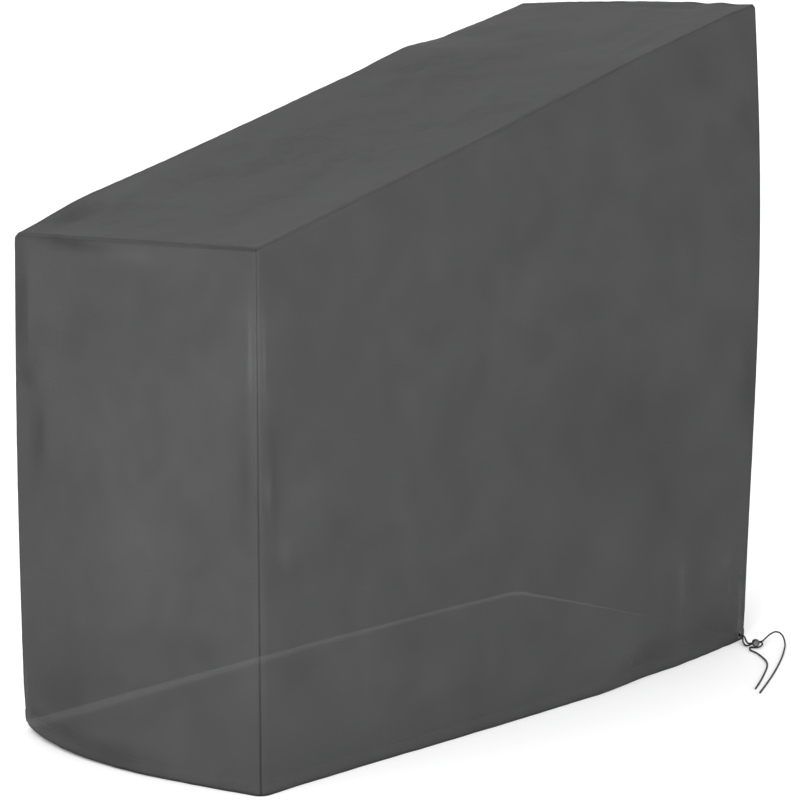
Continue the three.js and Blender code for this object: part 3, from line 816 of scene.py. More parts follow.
    def roof_surface(self, near: Array, tall: Array, far: Array, low: Array) -> Surface:
        """Works out the roof's sheet from the four seams that it fills.

        Args:
            near: The near seam's points, from the low end to the tall end.
            tall: The tall end's seam, from the near side to the far side.
            far: The far seam, from the low end to the tall end.
            low: The low end's seam, from the near side to the far side.

        Returns:
            The roof's surface, its first index along the length and its second across it.
        """
        u, from_ends = self.roof_shares(len(near), LENGTH)
        v, from_sides = self.roof_shares(len(tall), WIDTH)
        u, v = u[:, None, None], v[None, :, None]
        sides = mixed(near[:, None], far[:, None], v) + mixed(low[None, :], tall[None, :], u)
        twice = mixed(mixed(near[0], near[-1], u), mixed(far[0], far[-1], u), v)
        points = sides - twice
        seam = np.minimum(from_ends[:, None], from_sides[None, :])
        brow = np.clip(np.pi / 4 + seam / self.roof_edge, np.pi / 4, np.pi / 2)
        x, y = points[..., 0], points[..., 1]
        points[..., 2] = FLOOR + (self.roof_height(x, y) - self.roof_edge * (1 - np.sin(brow)))
        folds = sum(fold.relief(x, y) for fold in ROOF_FOLDS) * smooth(seam, 0.0, self.roof_fold_fade)
        relief = self.cloth_relief(points, seam) + folds
        # The roof's tone takes its painted shade and painted highlights here, and a few lines on the seams'
        # dark lines, with painted shade at the outline edges.
        tone = self.tone(points, self.roof_clouding) + sum(painted.shade(x, y) for painted in ROOF_PAINTED_SHADING)
        points[..., 2] += relief * smooth(seam, 0.0, self.roof_edge_fade)
        points[0], points[-1], points[:, 0], points[:, -1] = low, tall, near, far
        flat = points[..., :2] - points[0, 0, :2]
        tone = tone + NEAR_TOP_SEAM.shade(y - near[0, 1], 0.0) + OUTER_SEAM_AND_EDGE_SHADE.shade(y - far[0, 1], 0.0)
        tone = tone + LOW_TOP_SEAM.shade(x - low[0, 0], 0.0) + OUTER_SEAM_AND_EDGE_SHADE.shade(x - tall[0, 0], 0.0)
        return Surface(points, flat, np.ones(seam.shape), tone)

    def roof_shares(self, count: int, size: float) -> tuple[Array, Array]:
        """Places the roof's lines along one side.

        Args:
            count: The number of lines.
            size: The side's length.

        Returns:
            The lines' shares of the side, and their distances from its nearer seam.
        """
        edge = np.radians(np.linspace(45.0, 90.0, BROW_LINES + 1))
        brow = self.roof_edge * (math.cos(math.pi / 4) - np.cos(edge)) / size
        middle = np.linspace(brow[-1], 1 - brow[-1], count - 2 * BROW_LINES)
        shares = np.concatenate([brow[:-1], middle, 1 - brow[:-1][::-1]])
        inside = np.minimum(shares, 1 - shares) * size
        arc = self.roof_edge * (edge - math.pi / 4)
        curved = np.interp(inside, brow * size, arc)
        level = arc[-1] + inside - brow[-1] * size
        return shares, np.where(inside < brow[-1] * size, curved, level)

    def lines(self, wall: Wall) -> Lines:
        """Lays out the columns and rows of a wall's sheet.

        Args:
            wall: The wall.

        Returns:
            The wall's lines, which lie closest at the corners, the hem and the roof.
        """
        arc = np.linspace(-45.0, 0.0, CORNER_COLUMNS + 1)[:-1]
        step = self.side_step if wall.is_long else self.end_step
        straight = spaced(wall.run, self.fine_step, step, self.column_growth) / wall.run
        hem = np.linspace(0.0, self.hem_height, HEM_ROWS + 1)[:-1]
        stretch = (LOW_HEIGHT + HIGH_HEIGHT) / 2 - self.hem_height
        body = spaced(stretch, self.fine_step, self.row_step, self.row_growth) / stretch
        crest = np.linspace(0.0, 45.0, CREST_ROWS + 1)[1:]
        return Lines(
            share=np.concatenate([np.zeros(len(arc)), straight, np.ones(len(arc))]),
            angle=np.concatenate([arc, np.zeros(len(straight)), -arc[::-1]]),
            rise=np.concatenate([hem, np.full(len(body) + len(crest), self.hem_height)]),
            body=np.concatenate([np.zeros(len(hem)), body, np.ones(len(crest))]),
            crest=np.concatenate([np.zeros(len(hem) + len(body)), crest]),
        )


class Wire:
    """A shader socket that can stand in arithmetic."""

    def __init__(self, graph: "Graph", socket: bpy.types.NodeSocket) -> None:
        """Keeps the socket and the graph that it belongs to."""
        self.graph = graph
        self.socket = socket

    def _maths(self, operation: str, first: "Wire | float", second: "Wire | float") -> "Wire":
        """Adds a Math node and gives its result."""
        return self.graph.node("ShaderNodeMath", {"operation": operation}, {0: first, 1: second})

    def __add__(self, other: "Wire | float") -> "Wire":
        """Adds a socket or a number."""
        return self._maths("ADD", self, other)

    def __sub__(self, other: "Wire | float") -> "Wire":
        """Takes a socket or a number away."""
        return self._maths("SUBTRACT", self, other)

    def __rsub__(self, other: float) -> "Wire":
        """Takes the socket away from a number."""
        return self._maths("SUBTRACT", other, self)

    def __mul__(self, other: "Wire | float") -> "Wire":
        """Multiplies by a socket or a number."""
        return self._maths("MULTIPLY", self, other)

    __radd__ = __add__
    __rmul__ = __mul__

    def sine(self) -> "Wire":
        """Gives the socket's sine."""
        return self._maths("SINE", self, 0.0)

    def step(self, low: float, high: float) -> "Wire":
        """Eases from 0 where the socket is low to 1 where it is high."""
        sockets = {"Value": self, "From Min": low, "From Max": high}
        return self.graph.node("ShaderNodeMapRange", {"interpolation_type": "SMOOTHSTEP"}, sockets)

    def beside(self, output: str) -> "Wire":
        """Gives another output of the socket's own node."""
        return Wire(self.graph, self.socket.node.outputs[output])


Sockets = dict[str | int, "Wire | float | tuple[float, ...]"]
Colour = tuple[float, float, float, float]


class Graph:
    """The nodes of one material or of the surround."""

    def __init__(self, name: str, owners: bpy.types.bpy_prop_collection | None = None) -> None:
        """Starts an empty node tree.

        Args:
            name: The name of the material or the surround.
            owners: Blender's collection that it is made in, the materials if none is given.
        """
        self.owner = (bpy.data.materials if owners is None else owners).new(name)
        self.owner.use_nodes = True
        self.tree = self.owner.node_tree
        self.tree.nodes.clear()

    def node(self, kind: str, settings: dict | None = None, sockets: Sockets | None = None,
             output: str | int = 0) -> Wire:
        """Adds a node.

        Args:
            kind: The node's type.
            settings: Its properties, which are set first.
            sockets: Its inputs by name or number: links or constant values.
            output: The output that is wanted, by name or number.

        Returns:
            The wanted output.
        """
        made = self.tree.nodes.new(kind)
        for name, value in (settings or {}).items():
            setattr(made, name, value)
        for key, value in (sockets or {}).items():
            if isinstance(value, Wire):
                self.tree.links.new(value.socket, made.inputs[key])
            else:
                made.inputs[key].default_value = value
        return Wire(self, made.outputs[output] if made.outputs else None)

    def place(self) -> Wire:
        """Gives the place on the object, in metres."""
        return self.node("ShaderNodeTexCoord", None, None, "Object")

    def cut(self) -> Wire:
        """Gives the place on the cut cloth or along the cord, in metres."""
        return self.node("ShaderNodeUVMap", {"uv_map": CUT_MAP})

    def mark(self, name: str) -> Wire:
        """Reads a value that the mesh carries at its points."""
        return self.node("ShaderNodeAttribute", {"attribute_name": name}, None, "Fac")

    def noise(self, place: Wire, scale: float, detail: float = 2.0) -> Wire:
        """Adds a Noise texture and gives its value."""
        sockets = {"Vector": place, "Scale": scale, "Detail": detail, "Roughness": 0.5}
        return self.node("ShaderNodeTexNoise", None, sockets)

    def blend(self, share: Wire, low: Colour, high: Colour) -> Wire:
        """Mixes two colours by a share."""
        settings = {"data_type": "RGBA", "clamp_factor": True}
        return self.node("ShaderNodeMix", settings, {0: share, 6: low, 7: high}, 2)

    def bump(self, height: Wire, depth: float, strength: float) -> Wire:
        """Turns a height into a normal."""
        sockets = {"Strength": strength, "Distance": depth, "Height": height}
        return self.node("ShaderNodeBump", None, sockets)

    def finish(self, surface: Wire, output: str = "ShaderNodeOutputMaterial") -> bpy.types.ID:
        """Sends a shader to the output and gives the material or the surround."""
        self.node(output, None, {"Surface": surface})
        return self.owner

    def material(self, sockets: Sockets) -> bpy.types.Material:
        """Ends the nodes with a Principled shader and gives the material."""
        return self.finish(self.node("ShaderNodeBsdfPrincipled", None, sockets))


def grey(value: float, warmth: float = 0.0) -> Colour:
    """Gives a grey, slightly warm if warmth is positive and cool if it is negative."""
    return (value * (1 + warmth), value, value * (1 - warmth), 1.0)


@dataclass(frozen=True)
class ClothFinish:
    """Thin coated cloth of a smoky grey that lets a little light through.

    The mesh's tone mark, painted shade and painted highlights included, runs from 0, where the cloth has
    the least share of its colour, to 1, where it has the most. weave and slub are the shares of the two in
    the bump's height.
    """

    name: str = "smoky_coated_cloth"
    colour: float = 0.060
    warmth: float = -0.006
    least: float = 0.4
    most: float = 1.6
    roughness: float = 0.68
    sheen: float = 0.01
    sheen_roughness: float = 0.4
    specular: float = 0.08
    density: float = 0.80
    thread: float = 0.0012
    weave: float = 0.3
    slub: float = 2.0
    slub_scale: Point = (90.0, 500.0, 1.0)
    bump_strength: float = 0.08
    bump_depth: float = 0.0004

    def material(self) -> bpy.types.Material:
        """Builds the material.

        Returns:
            The material.
        """
        graph = Graph(self.name)
        dark, light = (grey(self.colour * share, self.warmth) for share in (self.least, self.most))
        flat = graph.cut()
        across = graph.node("ShaderNodeSeparateXYZ", None, {"Vector": flat}, "X")
        turns = 2 * math.pi / self.thread
        warp, weft = (across * turns).sine(), (across.beside("Y") * turns).sine()
        slubs = graph.node("ShaderNodeMapping", None, {"Vector": flat, "Scale": self.slub_scale})
        height = warp * weft * self.weave + graph.noise(slubs, 1.0, 1.0) * self.slub
        # The colour follows the tone mark, with its painted shade and painted highlights.
        return graph.material({
            "Base Color": graph.blend(graph.mark("tone"), dark, light),
            "Roughness": self.roughness,
            "Sheen Weight": self.sheen,
            "Sheen Roughness": self.sheen_roughness,
            "Specular IOR Level": self.specular,
            "Alpha": self.density,
            "Normal": graph.bump(height, self.bump_depth, self.bump_strength),
        })


@dataclass(frozen=True)
class PlainFinish:
    """Moulded plastic, metal or thread: one colour with a fine grain and broad, faint patches."""

    name: str
    colour: float
    roughness: float
    metallic: float = 0.0
    grain: float = 900.0
    relief: float = 0.00006
    bump_strength: float = 0.3
    patches: float = 112.5
    patch_starts: float = 0.3
    patch_ends: float = 0.7
    dark: float = 0.85
    light: float = 1.12
    roughness_spread: float = 0.2

    def material(self) -> bpy.types.Material:
        """Builds the material.

        Returns:
            The material.
        """
        graph = Graph(self.name)
        place = graph.place()
        fine, broad = graph.noise(place, self.grain), graph.noise(place, self.patches)
        patches = broad.step(self.patch_starts, self.patch_ends)
        dark, light = (grey(self.colour * share) for share in (self.dark, self.light))
        return graph.material({
            "Base Color": graph.blend(patches, dark, light),
            "Roughness": (broad - 0.5) * self.roughness_spread + self.roughness,
            "Metallic": self.metallic,
            "Normal": graph.bump(fine, self.relief, self.bump_strength),
        })


@dataclass(frozen=True)
class CordFinish:
    """Black braided cord, its yarns rubbed lighter where they stand proud."""

    name: str = "braided_cord"
    colour: float = 0.008
    rubbed: float = 0.017
    pitch: float = 0.0042
    yarn_scale: float = 2600.0
    crown_share: float = 0.8
    roughness: float = 0.78
    sheen: float = 0.06
    specular: float = 0.2
    bump_strength: float = 0.4
    bump_depth: float = 0.0001

    def material(self) -> bpy.types.Material:
        """Builds the material.

        Returns:
            The material.
        """
        graph = Graph(self.name)
        yarn = graph.noise(graph.cut(), self.yarn_scale)
        rubbing = graph.mark("crown") * self.crown_share + yarn * (1 - self.crown_share)
        return graph.material({
            "Base Color": graph.blend(rubbing, grey(self.colour), grey(self.rubbed)),
            "Roughness": self.roughness,
            "Sheen Weight": self.sheen,
            "Specular IOR Level": self.specular,
            "Normal": graph.bump(yarn, self.bump_depth, self.bump_strength),
        })


def to_object(mesh: bmesh.types.BMesh, name: str, material: bpy.types.Material) -> bpy.types.Object:
    """Makes a smooth-shaded object from a bmesh and frees it.

    Args:
        mesh: The finished bmesh.
        name: The object's name.
        material: Its material.

    Returns:
        The object, linked to the scene.
    """
    for face in mesh.faces:
        face.smooth = True
    data = bpy.data.meshes.new(name)
    mesh.to_mesh(data)
    mesh.free()
    data.materials.append(material)
    made = bpy.data.objects.new(name, data)
    bpy.context.scene.collection.objects.link(made)
    return made


def declare(piece: bpy.types.Object, node: str | None = None) -> None:
    """Hides the node that a piece replaces and hangs the piece on the root body.

    Args:
        piece: The finished piece.
        node: The node, or none for a piece that only scene.py has.
    """
    if node is not None:
        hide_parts(node)
    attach(piece, ROOT)


def grid_of(points: Array, flat: Array, marks: dict[str, Array]) -> bmesh.types.BMesh:
    """Moves a bmesh grid onto points.

    Args:
        points: The points, indexed by column and row.
        flat: Their places on the cut cloth.
        marks: Values that the mesh carries at its points, by name.

    Returns:
        The grid, its faces outward where columns by rows turn outward.
    """
    columns, rows = points.shape[:2]
    mesh = bmesh.new()
    bmesh.ops.create_grid(mesh, x_segments=columns - 1, y_segments=rows - 1, size=0.5)
    layers = {name: mesh.verts.layers.float.new(name) for name in marks}
    place = {}
    for vert in mesh.verts:
        i = round((vert.co.x + 0.5) * (columns - 1))
        j = round((vert.co.y + 0.5) * (rows - 1))
        place[vert] = (i, j)
        vert.co = points[i, j]
        for name, layer in layers.items():
            vert[layer] = float(marks[name][i, j])
    uv = mesh.loops.layers.uv.new(CUT_MAP)
    for face in mesh.faces:
        for loop in face.loops:
            loop[uv].uv = flat[place[loop.vert]]
    return mesh


@dataclass
class ClothPanels:
    """The five sewn panels, each a thin closed sheet with its hem turned double.

    cloth and hem are the two thicknesses, and eyelet_gap is the radius of the hole for the eyelet.
    turning and allowance are what is turned in at the hem and at each seam; neither is used.
    """

    finish: ClothFinish
    shape: CoverShape = field(default_factory=CoverShape)
    cloth: float = 0.0009
    hem: float = 0.0018
    turning: float = 0.030
    allowance: float = 0.012
    eyelet_gap: float = 0.0055

    def build(self) -> list[bpy.types.Object]:
        """Returns:
            The panels.
        """
        surfaces = self.surfaces()
        material = self.finish.material()
        made = {}
        for panel, surface in surfaces.items():
            made[panel] = self.panel(f"{panel.value}_cloth", surface, material)
            declare(made[panel], panel.value)
        return list(made.values())

    def surfaces(self) -> dict[Panel, Surface]:
        """Works out the five sheets, each wall joined to the next and the roof to all four.

        Returns:
            The sheets by panel.
        """
        shape = self.shape
        surfaces = {panel: shape.wall_surface(wall, shape.lines(wall)) for panel, wall in WALLS.items()}
        around = list(surfaces.values())
        for before, after in zip(around, around[1:] + around[:1]):
            after.points[0] = before.points[-1]
        near, tall, far, low = (surface.points[:, -1] for surface in around)
        surfaces[Panel.ROOF] = shape.roof_surface(near, tall, far[::-1], low[::-1])
        return surfaces

    def panel(self, name: str, surface: Surface, material: bpy.types.Material) -> bpy.types.Object:
        """Makes one panel's closed sheet.

        Args:
            name: The piece's name.
            surface: The panel's outer surface.
            material: The cloth.

        Returns:
            The panel.
        """
        # The tone, with its painted shade and painted highlights, goes on the points as a mark.
        tone = (surface.tone - self.finish.least) / (self.finish.most - self.finish.least)
        mesh = grid_of(surface.points, surface.flat, {"hem": surface.hem, "tone": np.clip(tone, 0, 1)})
        eyelet = Vector(EYELET_AT)
        pierced = [
            face for face in mesh.faces
            if (face.calc_center_median() - eyelet).length < self.eyelet_gap
        ]
        bmesh.ops.delete(mesh, geom=pierced, context="FACES")
        mesh.verts.ensure_lookup_table()
        layer = mesh.verts.layers.float["hem"]
        double = [vert.index for vert in mesh.verts if vert[layer] <= self.shape.hem_height]
        panel = to_object(mesh, name, material)
        group = panel.vertex_groups.new(name="turned_hem")
        group.add(double, 1.0, "REPLACE")
        shell = panel.modifiers.new("thickness", "SOLIDIFY")
        shell.thickness = self.hem
        shell.offset = -1.0
        shell.use_even_offset = True
        shell.vertex_group = group.name
        shell.thickness_vertex_group = self.cloth / self.hem
        return panel


def spline(points: tuple[Point, ...], step: float) -> Array:
    """Runs a smooth line through points, with even steps.

    Args:
        points: The points that the line passes through.
        step: The distance between the line's own points.

    Returns:
        The line's points.
    """
    knots = np.array(points)
    knots = np.concatenate([[2 * knots[0] - knots[1]], knots, [2 * knots[-1] - knots[-2]]])
    gaps = np.sqrt(np.linalg.norm(np.diff(knots, axis=0), axis=1))
    parts = []
    for k in range(1, len(knots) - 2):
        t = np.concatenate([[0.0], np.cumsum(gaps[k - 1:k + 2])])
        at = np.linspace(t[1], t[2], SPLINE_SAMPLES, endpoint=False)[:, None]
        p = knots[k - 1:k + 3]
        a = [mixed(p[i], p[i + 1], (at - t[i]) / (t[i + 1] - t[i])) for i in range(3)]
        b = [mixed(a[i], a[i + 1], (at - t[i]) / (t[i + 2] - t[i])) for i in range(2)]
        parts.append(mixed(b[0], b[1], (at - t[1]) / (t[2] - t[1])))
    line = np.concatenate([*parts, knots[-2:-1]])
    run = np.concatenate([[0.0], np.cumsum(np.linalg.norm(np.diff(line, axis=0), axis=1))])
    count = max(2, round(run[-1] / step))
    even = np.linspace(0.0, run[-1], count + 1)
    return np.stack([np.interp(even, run, line[:, axis]) for axis in range(3)], axis=-1)


LONG_END = (
    (0.6209, -0.2645, -0.9839), (0.6219, -0.2785, -0.9842), (0.6219, -0.2848, -0.9856),
    (0.6045, -0.3012, -0.9881), (0.6034, -0.3039, -0.9897), (0.5999, -0.3087, -0.9905),
    (0.59984, -0.31726, -0.98901), (0.60372, -0.32280, -0.98720), (0.60732, -0.32794, -0.98552),
    (0.6108, -0.3310, -0.9851), (0.6152, -0.3309, -0.9852), (0.6220, -0.3277, -0.9856),
    (0.6387, -0.3218, -0.9856), (0.6544, -0.3170, -0.9848), (0.6676, -0.3152, -0.9834),
    (0.6773, -0.3172, -0.9818), (0.6774, -0.3255, -0.9816), (0.6688, -0.3381, -0.9832),
    (0.6514, -0.3539, -0.9856), (0.6284, -0.3706, -0.9886), (0.5985, -0.3876, -0.9912),
    (0.5663, -0.4046, -0.9928), (0.5289, -0.4232, -0.9933), (0.4900, -0.4418, -0.9933),
    (0.4501, -0.4602, -0.9933), (0.4116, -0.4769, -0.9933), (0.3735, -0.4931, -0.9933),
    (0.3377, -0.5079, -0.9933),
)
SHORT_END = (
    (0.6172, -0.2649, -0.9839), (0.61815, -0.27900, -0.98420), (0.6167, -0.2848, -0.9863),
    (0.6018, -0.2961, -0.9896), (0.5990, -0.2996, -0.9917), (0.5936, -0.3061, -0.9926),
    (0.5907, -0.3122, -0.9925), (0.5917, -0.3166, -0.9910), (0.59640, -0.31967, -0.98901),
    (0.60028, -0.32520, -0.98720), (0.60388, -0.33035, -0.98552), (0.6051, -0.3344, -0.9854),
    (0.6033, -0.3376, -0.9872), (0.5993, -0.3383, -0.9896), (0.5954, -0.3355, -0.9920),
    (0.5925, -0.3307, -0.9931), (0.5893, -0.3261, -0.9933), (0.5851, -0.3236, -0.9933),
    (0.5743, -0.3298, -0.9933), (0.5682, -0.3371, -0.9933), (0.5646, -0.3450, -0.9933),
    (0.5592, -0.3553, -0.9933), (0.5494, -0.3689, -0.9933), (0.5363, -0.3851, -0.9933),
    (0.5195, -0.4021, -0.9933), (0.4967, -0.4184, -0.9933), (0.4684, -0.4340, -0.9933),
    (0.4396, -0.4484, -0.9933), (0.4084, -0.4635, -0.9933), (0.3797, -0.4766, -0.9933),
    (0.3548, -0.4876, -0.9933),
)
ROUTES = {"drawstring_long_end": LONG_END, "drawstring_short_end": SHORT_END}


@dataclass
class Drawstring:
    """The two free ends of the drawstring, braided and heat-cut.

    plaits counts the yarns that cross round the cord, and relief is the depth between them. Each end
    is rounded over the length of tip, and blunt is the share of the section that is left there.
    """

    finish: CordFinish
    diameter: float = 0.0032
    sides: int = 16
    step: float = 0.0008
    plaits: int = 4
    relief: float = 0.00016
    crown_power: float = 0.6
    tip: float = 0.0016
    blunt: float = 0.02

    def build(self, lock: list[bpy.types.Object]) -> list[bpy.types.Object]:
        """Builds and declares both ends.

        Args:
            lock: The pieces of the cord lock, which sit on the ends; not used.

        Returns:
            The two ends.
        """
        material = self.finish.material()
        made = []
        for name, route in ROUTES.items():
            path = spline(route, self.step)
            cord = self.tube(f"{name}_braid", path, material)
            declare(cord, name)
            made.append(cord)
        return made

    def tube(self, name: str, path: Array, material: bpy.types.Material) -> bpy.types.Object:
        """Makes a braided tube along a path.

        Args:
            name: The piece's name.
            path: The middles of its rings.
            material: The cord's material.

        Returns:
            The cord.
        """
        run = np.arange(len(path)) * self.step
        turn = np.linspace(0.0, 2 * np.pi, self.sides + 1)
        left = self.plaits * turn[None, :] / 2 + np.pi * run[:, None] / self.finish.pitch
        right = self.plaits * turn[None, :] / 2 - np.pi * run[:, None] / self.finish.pitch
        crown = np.abs(np.sin(left) * np.sin(right)) ** self.crown_power
        from_end = np.clip(np.minimum(run, run[::-1]) / self.tip, 0, 1)
        dome = np.sqrt(np.clip(1 - (1 - from_end) ** 2, self.blunt, 1.0))
        radius = (self.diameter / 2 - self.relief * (1 - crown)) * dome[:, None]
        tangents = np.gradient(path, axis=0)
        tangents /= np.linalg.norm(tangents, axis=1)[:, None]
        across = np.cross(tangents[0], [0.0, 0.0, 1.0])
        points = np.empty((len(path), self.sides + 1, 3))
        for k, tangent in enumerate(tangents):
            across = across - tangent * np.dot(across, tangent)
            across /= np.linalg.norm(across)
            up = np.cross(tangent, across)
            ring = np.cos(turn)[:, None] * across + np.sin(turn)[:, None] * up
            points[k] = path[k] + ring * radius[k][:, None]
        flat = np.stack(np.broadcast_arrays(run[:, None], turn[None, :] * self.diameter / 2), axis=-1)
        mesh = grid_of(points, flat, {"crown": crown})
        bmesh.ops.remove_doubles(mesh, verts=mesh.verts, dist=WELD)
        rims = [edge for edge in mesh.edges if edge.is_boundary]
        bmesh.ops.holes_fill(mesh, edges=rims, sides=0)
        bmesh.ops.recalc_face_normals(mesh, faces=mesh.faces)
        return to_object(mesh, name, material)


def turned(profile: list[Pair], steps: int) -> bmesh.types.BMesh:
    """Spins a profile into a closed form round the X axis.

    Args:
        profile: Pairs of a distance along the axis and a radius.
        steps: The number of steps round the axis.

    Returns:
        The form, its normals outward.
    """
    mesh = bmesh.new()
    verts = [mesh.verts.new((along_axis, 0.0, radius)) for along_axis, radius in profile]
    edges = [mesh.edges.new(pair) for pair in zip(verts, verts[1:])]
    bmesh.ops.spin(
        mesh, geom=verts + edges, cent=(0, 0, 0), axis=(1, 0, 0), dvec=(0, 0, 0),
        angle=2 * math.pi, steps=steps, use_merge=True,
    )
    bmesh.ops.remove_doubles(mesh, verts=mesh.verts, dist=WELD)
    bmesh.ops.recalc_face_normals(mesh, faces=mesh.faces)
    return mesh


def rounded(corners: list[Pair], radius: float, steps: int) -> list[Pair]:
    """Rounds the inner corners of an open outline.

    Args:
        corners: The outline's corners; the first and last stay sharp.
        radius: How far from each corner its round starts.
        steps: The number of steps in each round.

    Returns:
        The rounded outline.
    """
    result = [corners[0]]
    for before, corner, after in zip(corners, corners[1:], corners[2:]):
        here, back, on = Vector(corner), Vector(before), Vector(after)
        start = here + (back - here).normalized() * min(radius, (back - here).length / 2)
        end = here + (on - here).normalized() * min(radius, (on - here).length / 2)
        for k in range(steps + 1):
            share = k / steps
            result.append(tuple(start.lerp(here, share).lerp(here.lerp(end, share), share)))
    result.append(corners[-1])
    return result


@dataclass
class Hardware:
    """The hem's eyelet and the cord lock, with its spring-loaded push button.

    tube is the wall of the eyelet's tube, and web the share of its half thickness at which the two
    flanges start. rings are the angles of the barrel's rings, and the lower bulge is, the blunter are
    its ends. slot gives the sizes of the slot's cutter, neck and head the button's lengths and radii,
    and dish_radii the ringed dish in its face.
    """

    plastic: PlainFinish
    button: PlainFinish
    metal: PlainFinish
    bore: float = 0.004
    flange: float = 0.0072
    thick: float = 0.0036
    tube: float = 0.0012
    web: float = 0.45
    eyelet_round: float = 0.0007
    lock_at: Point = (0.602, -0.324, FLOOR + 0.0078)
    lock_radius: float = 0.0075
    lock_length: float = 0.019
    lock_turn: float = 35.0
    lock_rise: float = 8.0
    lock_roll: float = 15.0
    rings: range = range(-85, 90, 10)
    bulge: float = 0.62
    flutes: int = 12
    flute_depth: float = 0.035
    flute_reach: float = 0.3
    slot: Point = (0.0082, 0.03, 0.0044)
    slot_round: float = 0.0015
    gap: float = 0.0003
    neck: Pair = (0.003, 0.003)
    head: Pair = (0.003, 0.0044)
    dish_depth: float = 0.0004
    dish_radii: tuple[float, ...] = (0.0033, 0.0030, 0.0012, 0.0009)
    button_round: float = 0.0006
    round_steps: int = 4
    steps: int = 48

    def build(self) -> list[bpy.types.Object]:
        """Returns:
            The three pieces in that order.
        """
        eyelet, barrel, button = self.eyelet(), self.barrel(), self.push_button()
        declare(eyelet, "hem_eyelet")
        declare(barrel, "cord_lock_barrel")
        declare(button, "cord_lock_button")
        return [eyelet, barrel, button]

    def eyelet(self) -> bpy.types.Object:
        """Makes the pressed ring: a rolled flange on both faces of the hem round a short tube.

        Returns:
            The eyelet.
        """
        half = self.thick / 2
        web, tube = half * self.web, self.bore + self.tube
        outline = [
            (0.0, self.bore), (half, self.bore), (half, self.flange), (web, self.flange), (web, tube),
            (-web, tube), (-web, self.flange), (-half, self.flange), (-half, self.bore), (0.0, self.bore),
        ]
        mesh = turned(rounded(outline, self.eyelet_round, self.round_steps), self.steps)
        toward = Vector((1, 0, 0)).rotation_difference(Vector(EYELET_AXIS))
        bmesh.ops.rotate(mesh, verts=mesh.verts, cent=(0, 0, 0), matrix=toward.to_matrix())
        bmesh.ops.translate(mesh, verts=mesh.verts, vec=EYELET_AT)
        return to_object(mesh, "hem_eyelet_ring", self.metal.material())

    def set_down(self, mesh: bmesh.types.BMesh, *turns: tuple[str, float]) -> None:
        """Turns a piece of the lock and moves it to the lock's place.

        Args:
            mesh: The piece, made round the origin.
            turns: Axes with angles in degrees, the last turn done first.
        """
        pose = Matrix.Identity(3)
        for axis, angle in turns:
            pose = pose @ Matrix.Rotation(math.radians(angle), 3, axis)
        bmesh.ops.rotate(mesh, verts=mesh.verts, cent=(0, 0, 0), matrix=pose)
        bmesh.ops.translate(mesh, verts=mesh.verts, vec=self.lock_at)

    def barrel(self) -> bpy.types.Object:
        """Makes the lock's oval barrel, with its grip flutes and its slot.

        Returns:
            The barrel.
        """
        half = self.lock_length / 2
        rings = [math.radians(angle) for angle in self.rings]
        belly = [(half * math.sin(ring), self.lock_radius * math.cos(ring) ** self.bulge) for ring in rings]
        mesh = turned([(-half, 0.0), *belly, (half, 0.0)], self.steps)
        for vert in mesh.verts:
            turn = math.atan2(vert.co.y, vert.co.z)
            middle = bell(vert.co.x, self.lock_length * self.flute_reach)
            shrink = 1 - self.flute_depth * middle * (0.5 + 0.5 * math.cos(self.flutes * turn))
            vert.co.y *= shrink
            vert.co.z *= shrink
        self.set_down(mesh, *self.lock_turns())
        barrel = to_object(mesh, "cord_lock_body", self.plastic.material())
        self.cut_slot(barrel)
        return barrel

    def lock_turns(self) -> tuple[tuple[str, float], ...]:
        """Gives the turns that lay the barrel and its button down."""
        return ("Z", self.lock_turn), ("Y", self.lock_rise), ("Z", 180.0)

    def cut_slot(self, barrel: bpy.types.Object) -> None:
        """Cuts the slot that the cord runs through.

        Args:
            barrel: The barrel, whose mesh is replaced.
        """
        mesh = bmesh.new()
        bmesh.ops.create_cube(mesh, size=1.0)
        bmesh.ops.scale(mesh, verts=mesh.verts, vec=self.slot)
        bmesh.ops.bevel(
            mesh, geom=mesh.edges[:], offset=self.slot_round, segments=self.round_steps, profile=0.5,
            affect="EDGES", material=-1,
        )
        self.set_down(mesh, ("Z", self.lock_turn), ("X", -self.lock_roll))
        cutter = to_object(mesh, "slot_cutter", barrel.data.materials[0])
        cut = barrel.modifiers.new("slot", "BOOLEAN")
        cut.operation = "DIFFERENCE"
        cut.object = cutter
        cut.solver = "EXACT"
        graph = bpy.context.evaluated_depsgraph_get()
        shaped = bpy.data.meshes.new_from_object(barrel.evaluated_get(graph))
        barrel.modifiers.clear()
        barrel.data = shaped
        bpy.data.objects.remove(cutter, do_unlink=True)

    def push_button(self) -> bpy.types.Object:
        """Makes the push button on its neck, with a ringed face.

        Returns:
            The button.
        """
        foot = self.lock_length / 2 + self.gap
        (neck_length, neck), (head_length, head) = self.neck, self.head
        step, end = foot + neck_length, foot + neck_length + head_length
        floor = end - self.dish_depth
        dish = list(zip((end, floor, floor, end), self.dish_radii))
        outline = [(foot, 0.0), (foot, neck), (step, neck), (step, head), (end, head), *dish, (end, 0.0)]
        mesh = turned(rounded(outline, self.button_round, self.round_steps), self.steps)
        self.set_down(mesh, *self.lock_turns())
        return to_object(mesh, "cord_lock_push_button", self.button.material())


